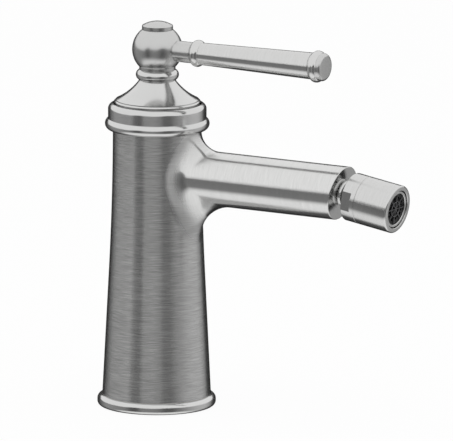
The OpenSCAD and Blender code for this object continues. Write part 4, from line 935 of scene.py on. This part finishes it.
grown(
    "outlet_star", star_tree(),
    {"Spokes": STAR_SPOKES, "Radius": STAR_R * MM, "Rib": STAR_RIB * MM, "Depth": STAR_DEPTH * MM, "Rings": STAR_RINGS,
     "Material": grey_moulding},
    frame_matrix(JOINT + (COMB_FACE + STAR_RISE) * NOZZLE_AXIS, NOZZLE_AXIS, SIDE), "nozzle", "black_plastic",
)
thread = thread_tree()
for name, x, y, radius, turns, length in (
    ("hot_thread", INLET_X, -INLET_Y, INLET_R, INLET_TURNS, INLET_THREAD_L),
    ("cold_thread", INLET_X, INLET_Y, INLET_R, INLET_TURNS, INLET_THREAD_L),
    ("stud_thread", STUD_X, 0.0, STUD_R, STUD_TURNS, STUD_THREAD_L),
):
    grown(
        name, thread,
        {"Turns": turns, "Radius": radius * MM, "Length": length * MM, "Ridge": THREAD_RIDGE * MM,
         "Material": raw_brass},
        Matrix.Translation(Vector((x, y, THREAD_Z)) * MM), "body", "brass",
    )


# Floor, light and camera

PHOTO_W, PHOTO_H = 453, 441
AZIMUTH, ELEVATION, ROLL = math.radians(30.6), math.radians(11.0), math.radians(0.19)
PIXELS_PER_METRE, DISTANCE = 2193.0, 7.0
FOOT_PIXEL = (157.2, 404.2)
BACK = Vector((math.sin(AZIMUTH) * math.cos(ELEVATION), -math.cos(AZIMUTH) * math.cos(ELEVATION), math.sin(ELEVATION)))
RIGHT = Vector((math.cos(AZIMUTH), math.sin(AZIMUTH), 0.0))
FLOOR_HALF, FLOOR_DROP, FLOOR_GREY, FLOOR_ROUGH, FLOOR_WHITE = 12.0, 0.0002, 0.85, 0.9, 0.94
SKY_LIGHT, SKY_SEEN, SOFTBOX_SIZE, SOFTBOX_POWER = 0.8, 1.0, 1.4, 6.0
SOFTBOX_PLACE, SOFTBOX_AIM = Vector((0.2, -0.3, 1.6)), Vector((0.0, 0.0, 0.08))


def aim_camera():
    data = bpy.data.cameras.new("camera")
    camera = new_object("camera", data)
    above = BACK.cross(RIGHT)
    aside = (PHOTO_W / 2 - FOOT_PIXEL[0]) / PIXELS_PER_METRE
    upward = (FOOT_PIXEL[1] - PHOTO_H / 2) / PIXELS_PER_METRE
    target = RIGHT * aside + above * upward
    turn = Matrix((RIGHT, above, BACK)).transposed().to_4x4() @ Matrix.Rotation(ROLL, 4, "Z")
    camera.matrix_world = Matrix.Translation(target + BACK * DISTANCE) @ turn
    data.sensor_width = 36.0
    data.lens = PIXELS_PER_METRE * DISTANCE / PHOTO_W * data.sensor_width
    data.clip_start, data.clip_end = 0.1, 100.0
    bpy.context.scene.camera = camera


def seen_rays(tree):
    """1 on camera, glossy and transmission rays, which see the white studio as it is."""
    path = node(tree, "LightPath").outputs
    seen = reckon(tree, "MAXIMUM", path["Is Camera Ray"], path["Is Glossy Ray"])
    return reckon(tree, "MAXIMUM", seen, path["Is Transmission Ray"])


def stage_mesh(name, points, faces, paint):
    mesh = bpy.data.meshes.new(name)
    mesh.from_pydata(points, [], faces)
    mesh.materials.append(paint)
    thing = new_object(name, mesh)
    return thing


def lay_floor():
    made, tree, shader = material("white_floor")
    wire(tree, shader, Base_Color=grey(FLOOR_GREY), Roughness=FLOOR_ROUGH, Specular_IOR_Level=0.0)
    white = node(tree, "Emission", Color=grey(1.0), Strength=1.0)
    part = reckon(tree, "MULTIPLY", seen_rays(tree), FLOOR_WHITE)
    mixed = node(tree, "MixShader", i0=part, i1=shader.outputs[0], i2=white.outputs[0])
    wire(tree, tree.nodes["Material Output"], Surface=mixed.outputs[0])
    corners = [(x * FLOOR_HALF, y * FLOOR_HALF, -FLOOR_DROP) for x, y in ((-1, -1), (1, -1), (1, 1), (-1, 1))]
    floor = stage_mesh("floor", corners, [(0, 1, 2, 3)], made)
    floor.visible_glossy = False


# What the metal mirrors below the white sky, by the angle from the camera in degrees, + to the right:
# grey level of the low ring, where it ends above (degrees over the horizon) and where the pale ground begins below
SURROUND = (
    (-180, 0.03, 20.0, 72.0), (-150, 0.05, 14.0, 72.0), (-136, 0.18, 6.0, 64.0), (-116, 0.35, 3.0, 50.0),
    (-98, 0.34, 1.0, 40.0), (-80, 0.30, 1.0, 36.0), (-64, 0.27, 0.0, 35.0), (-54, 0.15, 8.0, 35.0),
    (-46, 0.12, 12.0, 35.0), (-39, 0.12, 13.0, 35.0), (-30, 0.28, 8.0, 36.0), (-8, 0.29, 7.0, 38.0),
    (6, 0.24, 9.0, 39.0), (17, 0.13, 14.0, 39.0), (30, 0.13, 14.0, 39.0), (46, 0.26, 8.0, 39.0),
    (68, 0.44, 5.0, 39.0), (90, 0.58, 4.0, 44.0), (110, 0.60, 3.0, 52.0), (127, 0.38, 5.0, 60.0),
    (138, 0.09, 8.0, 72.0), (150, 0.04, 14.0, 72.0), (180, 0.03, 20.0, 72.0),
)
SURROUND_R, SURROUND_FADE, GROUND_GREY = 6.0, 0.10, 1.0
SHADOW_WAY, SHADOW_HALF, SHADOW_FADE, SHADOW_GREY = Vector((-0.43, 0.25, -0.87)).normalized(), 14.0, 0.03, 0.10


def grey_by_angle():
    """Grey of the surround by angle and height: a ring, pale ground below it and one shadow."""
    made, tree, shader = material("surround")
    tree.nodes.remove(shader)
    place = node(tree, "TexCoord").outputs["Object"]
    turned = node(tree, "Mapping", Vector=place, Rotation=(0.0, 0.0, math.pi / 2 - AZIMUTH)).outputs["Vector"]
    angle = node(tree, "TexGradient", {"gradient_type": "RADIAL"}, Vector=turned).outputs["Fac"]
    stops = [((turn + 180.0) / 360.0, level, math.sin(math.radians(below))) for turn, level, _, below in SURROUND]
    ring = grey_ramp(tree, angle, stops)
    height = node(tree, "SeparateXYZ", Vector=place).outputs["Z"]
    over = reckon(tree, "MULTIPLY_ADD", height, 1.0 / SURROUND_R, ring["Alpha"])
    high = spread(tree, over, 0.0, 1.0, -SURROUND_FADE, SURROUND_FADE)
    level = mix(tree, "RGBA", high, grey(GROUND_GREY), ring["Color"])
    near = node(tree, "VectorMath", {"operation": "DOT_PRODUCT"}, i0=place, i1=SHADOW_WAY).outputs["Value"]
    edge = math.cos(math.radians(SHADOW_HALF)) * SURROUND_R
    dim = spread(tree, near, 0.0, 1.0, (1 - SHADOW_FADE) * edge, (1 + SHADOW_FADE) * edge)
    level = mix(tree, "RGBA", dim, level, grey(SHADOW_GREY))
    light = node(tree, "Emission", Color=level, Strength=1.0)
    wire(tree, tree.nodes["Material Output"], Surface=light.outputs[0])
    return made


def shade_surround():
    """A wide bowl round the object, seen only in the metal."""
    angles, rows = np.linspace(-180.0, 180.0, 121), 24
    table = np.array(SURROUND, float)
    rims = np.interp(angles, table[:, 0], table[:, 2])
    points, faces = [], []
    for k, a in enumerate(np.radians(angles)):
        way = math.cos(a) * Vector((BACK.x, BACK.y, 0.0)).normalized() + math.sin(a) * RIGHT
        for rise in np.radians(np.linspace(-89.9, rims[k], rows)):
            points.append(tuple((way * math.cos(rise) + Vector((0, 0, math.sin(rise)))) * SURROUND_R))
        if k:
            j = rows * k
            faces += [(j - rows + i, j + i, j + i + 1, j - rows + i + 1) for i in range(rows - 1)]
    bowl = stage_mesh("surround", points, faces, grey_by_angle())
    bowl.visible_camera = bowl.visible_diffuse = bowl.visible_shadow = bowl.visible_transmission = False


def light_studio():
    world = bpy.data.worlds.new("studio")
    bpy.context.scene.world = world
    world.use_nodes = True
    tree = world.node_tree
    strength = spread(tree, seen_rays(tree), SKY_LIGHT, SKY_SEEN, 0.0, 1.0)
    wire(tree, tree.nodes["Background"], Color=grey(1.0), Strength=strength)
    lamp = bpy.data.lights.new("softbox", "AREA")
    lamp.shape, lamp.size, lamp.energy = "DISK", SOFTBOX_SIZE, SOFTBOX_POWER
    softbox = new_object("softbox", lamp)
    softbox.location = SOFTBOX_PLACE
    softbox.rotation_euler = (SOFTBOX_AIM - SOFTBOX_PLACE).to_track_quat("-Z", "Y").to_euler()
    softbox.visible_glossy = False
    shade_surround()


aim_camera()
lay_floor()
light_studio()
bpy.context.scene.view_settings.view_transform = "Standard"
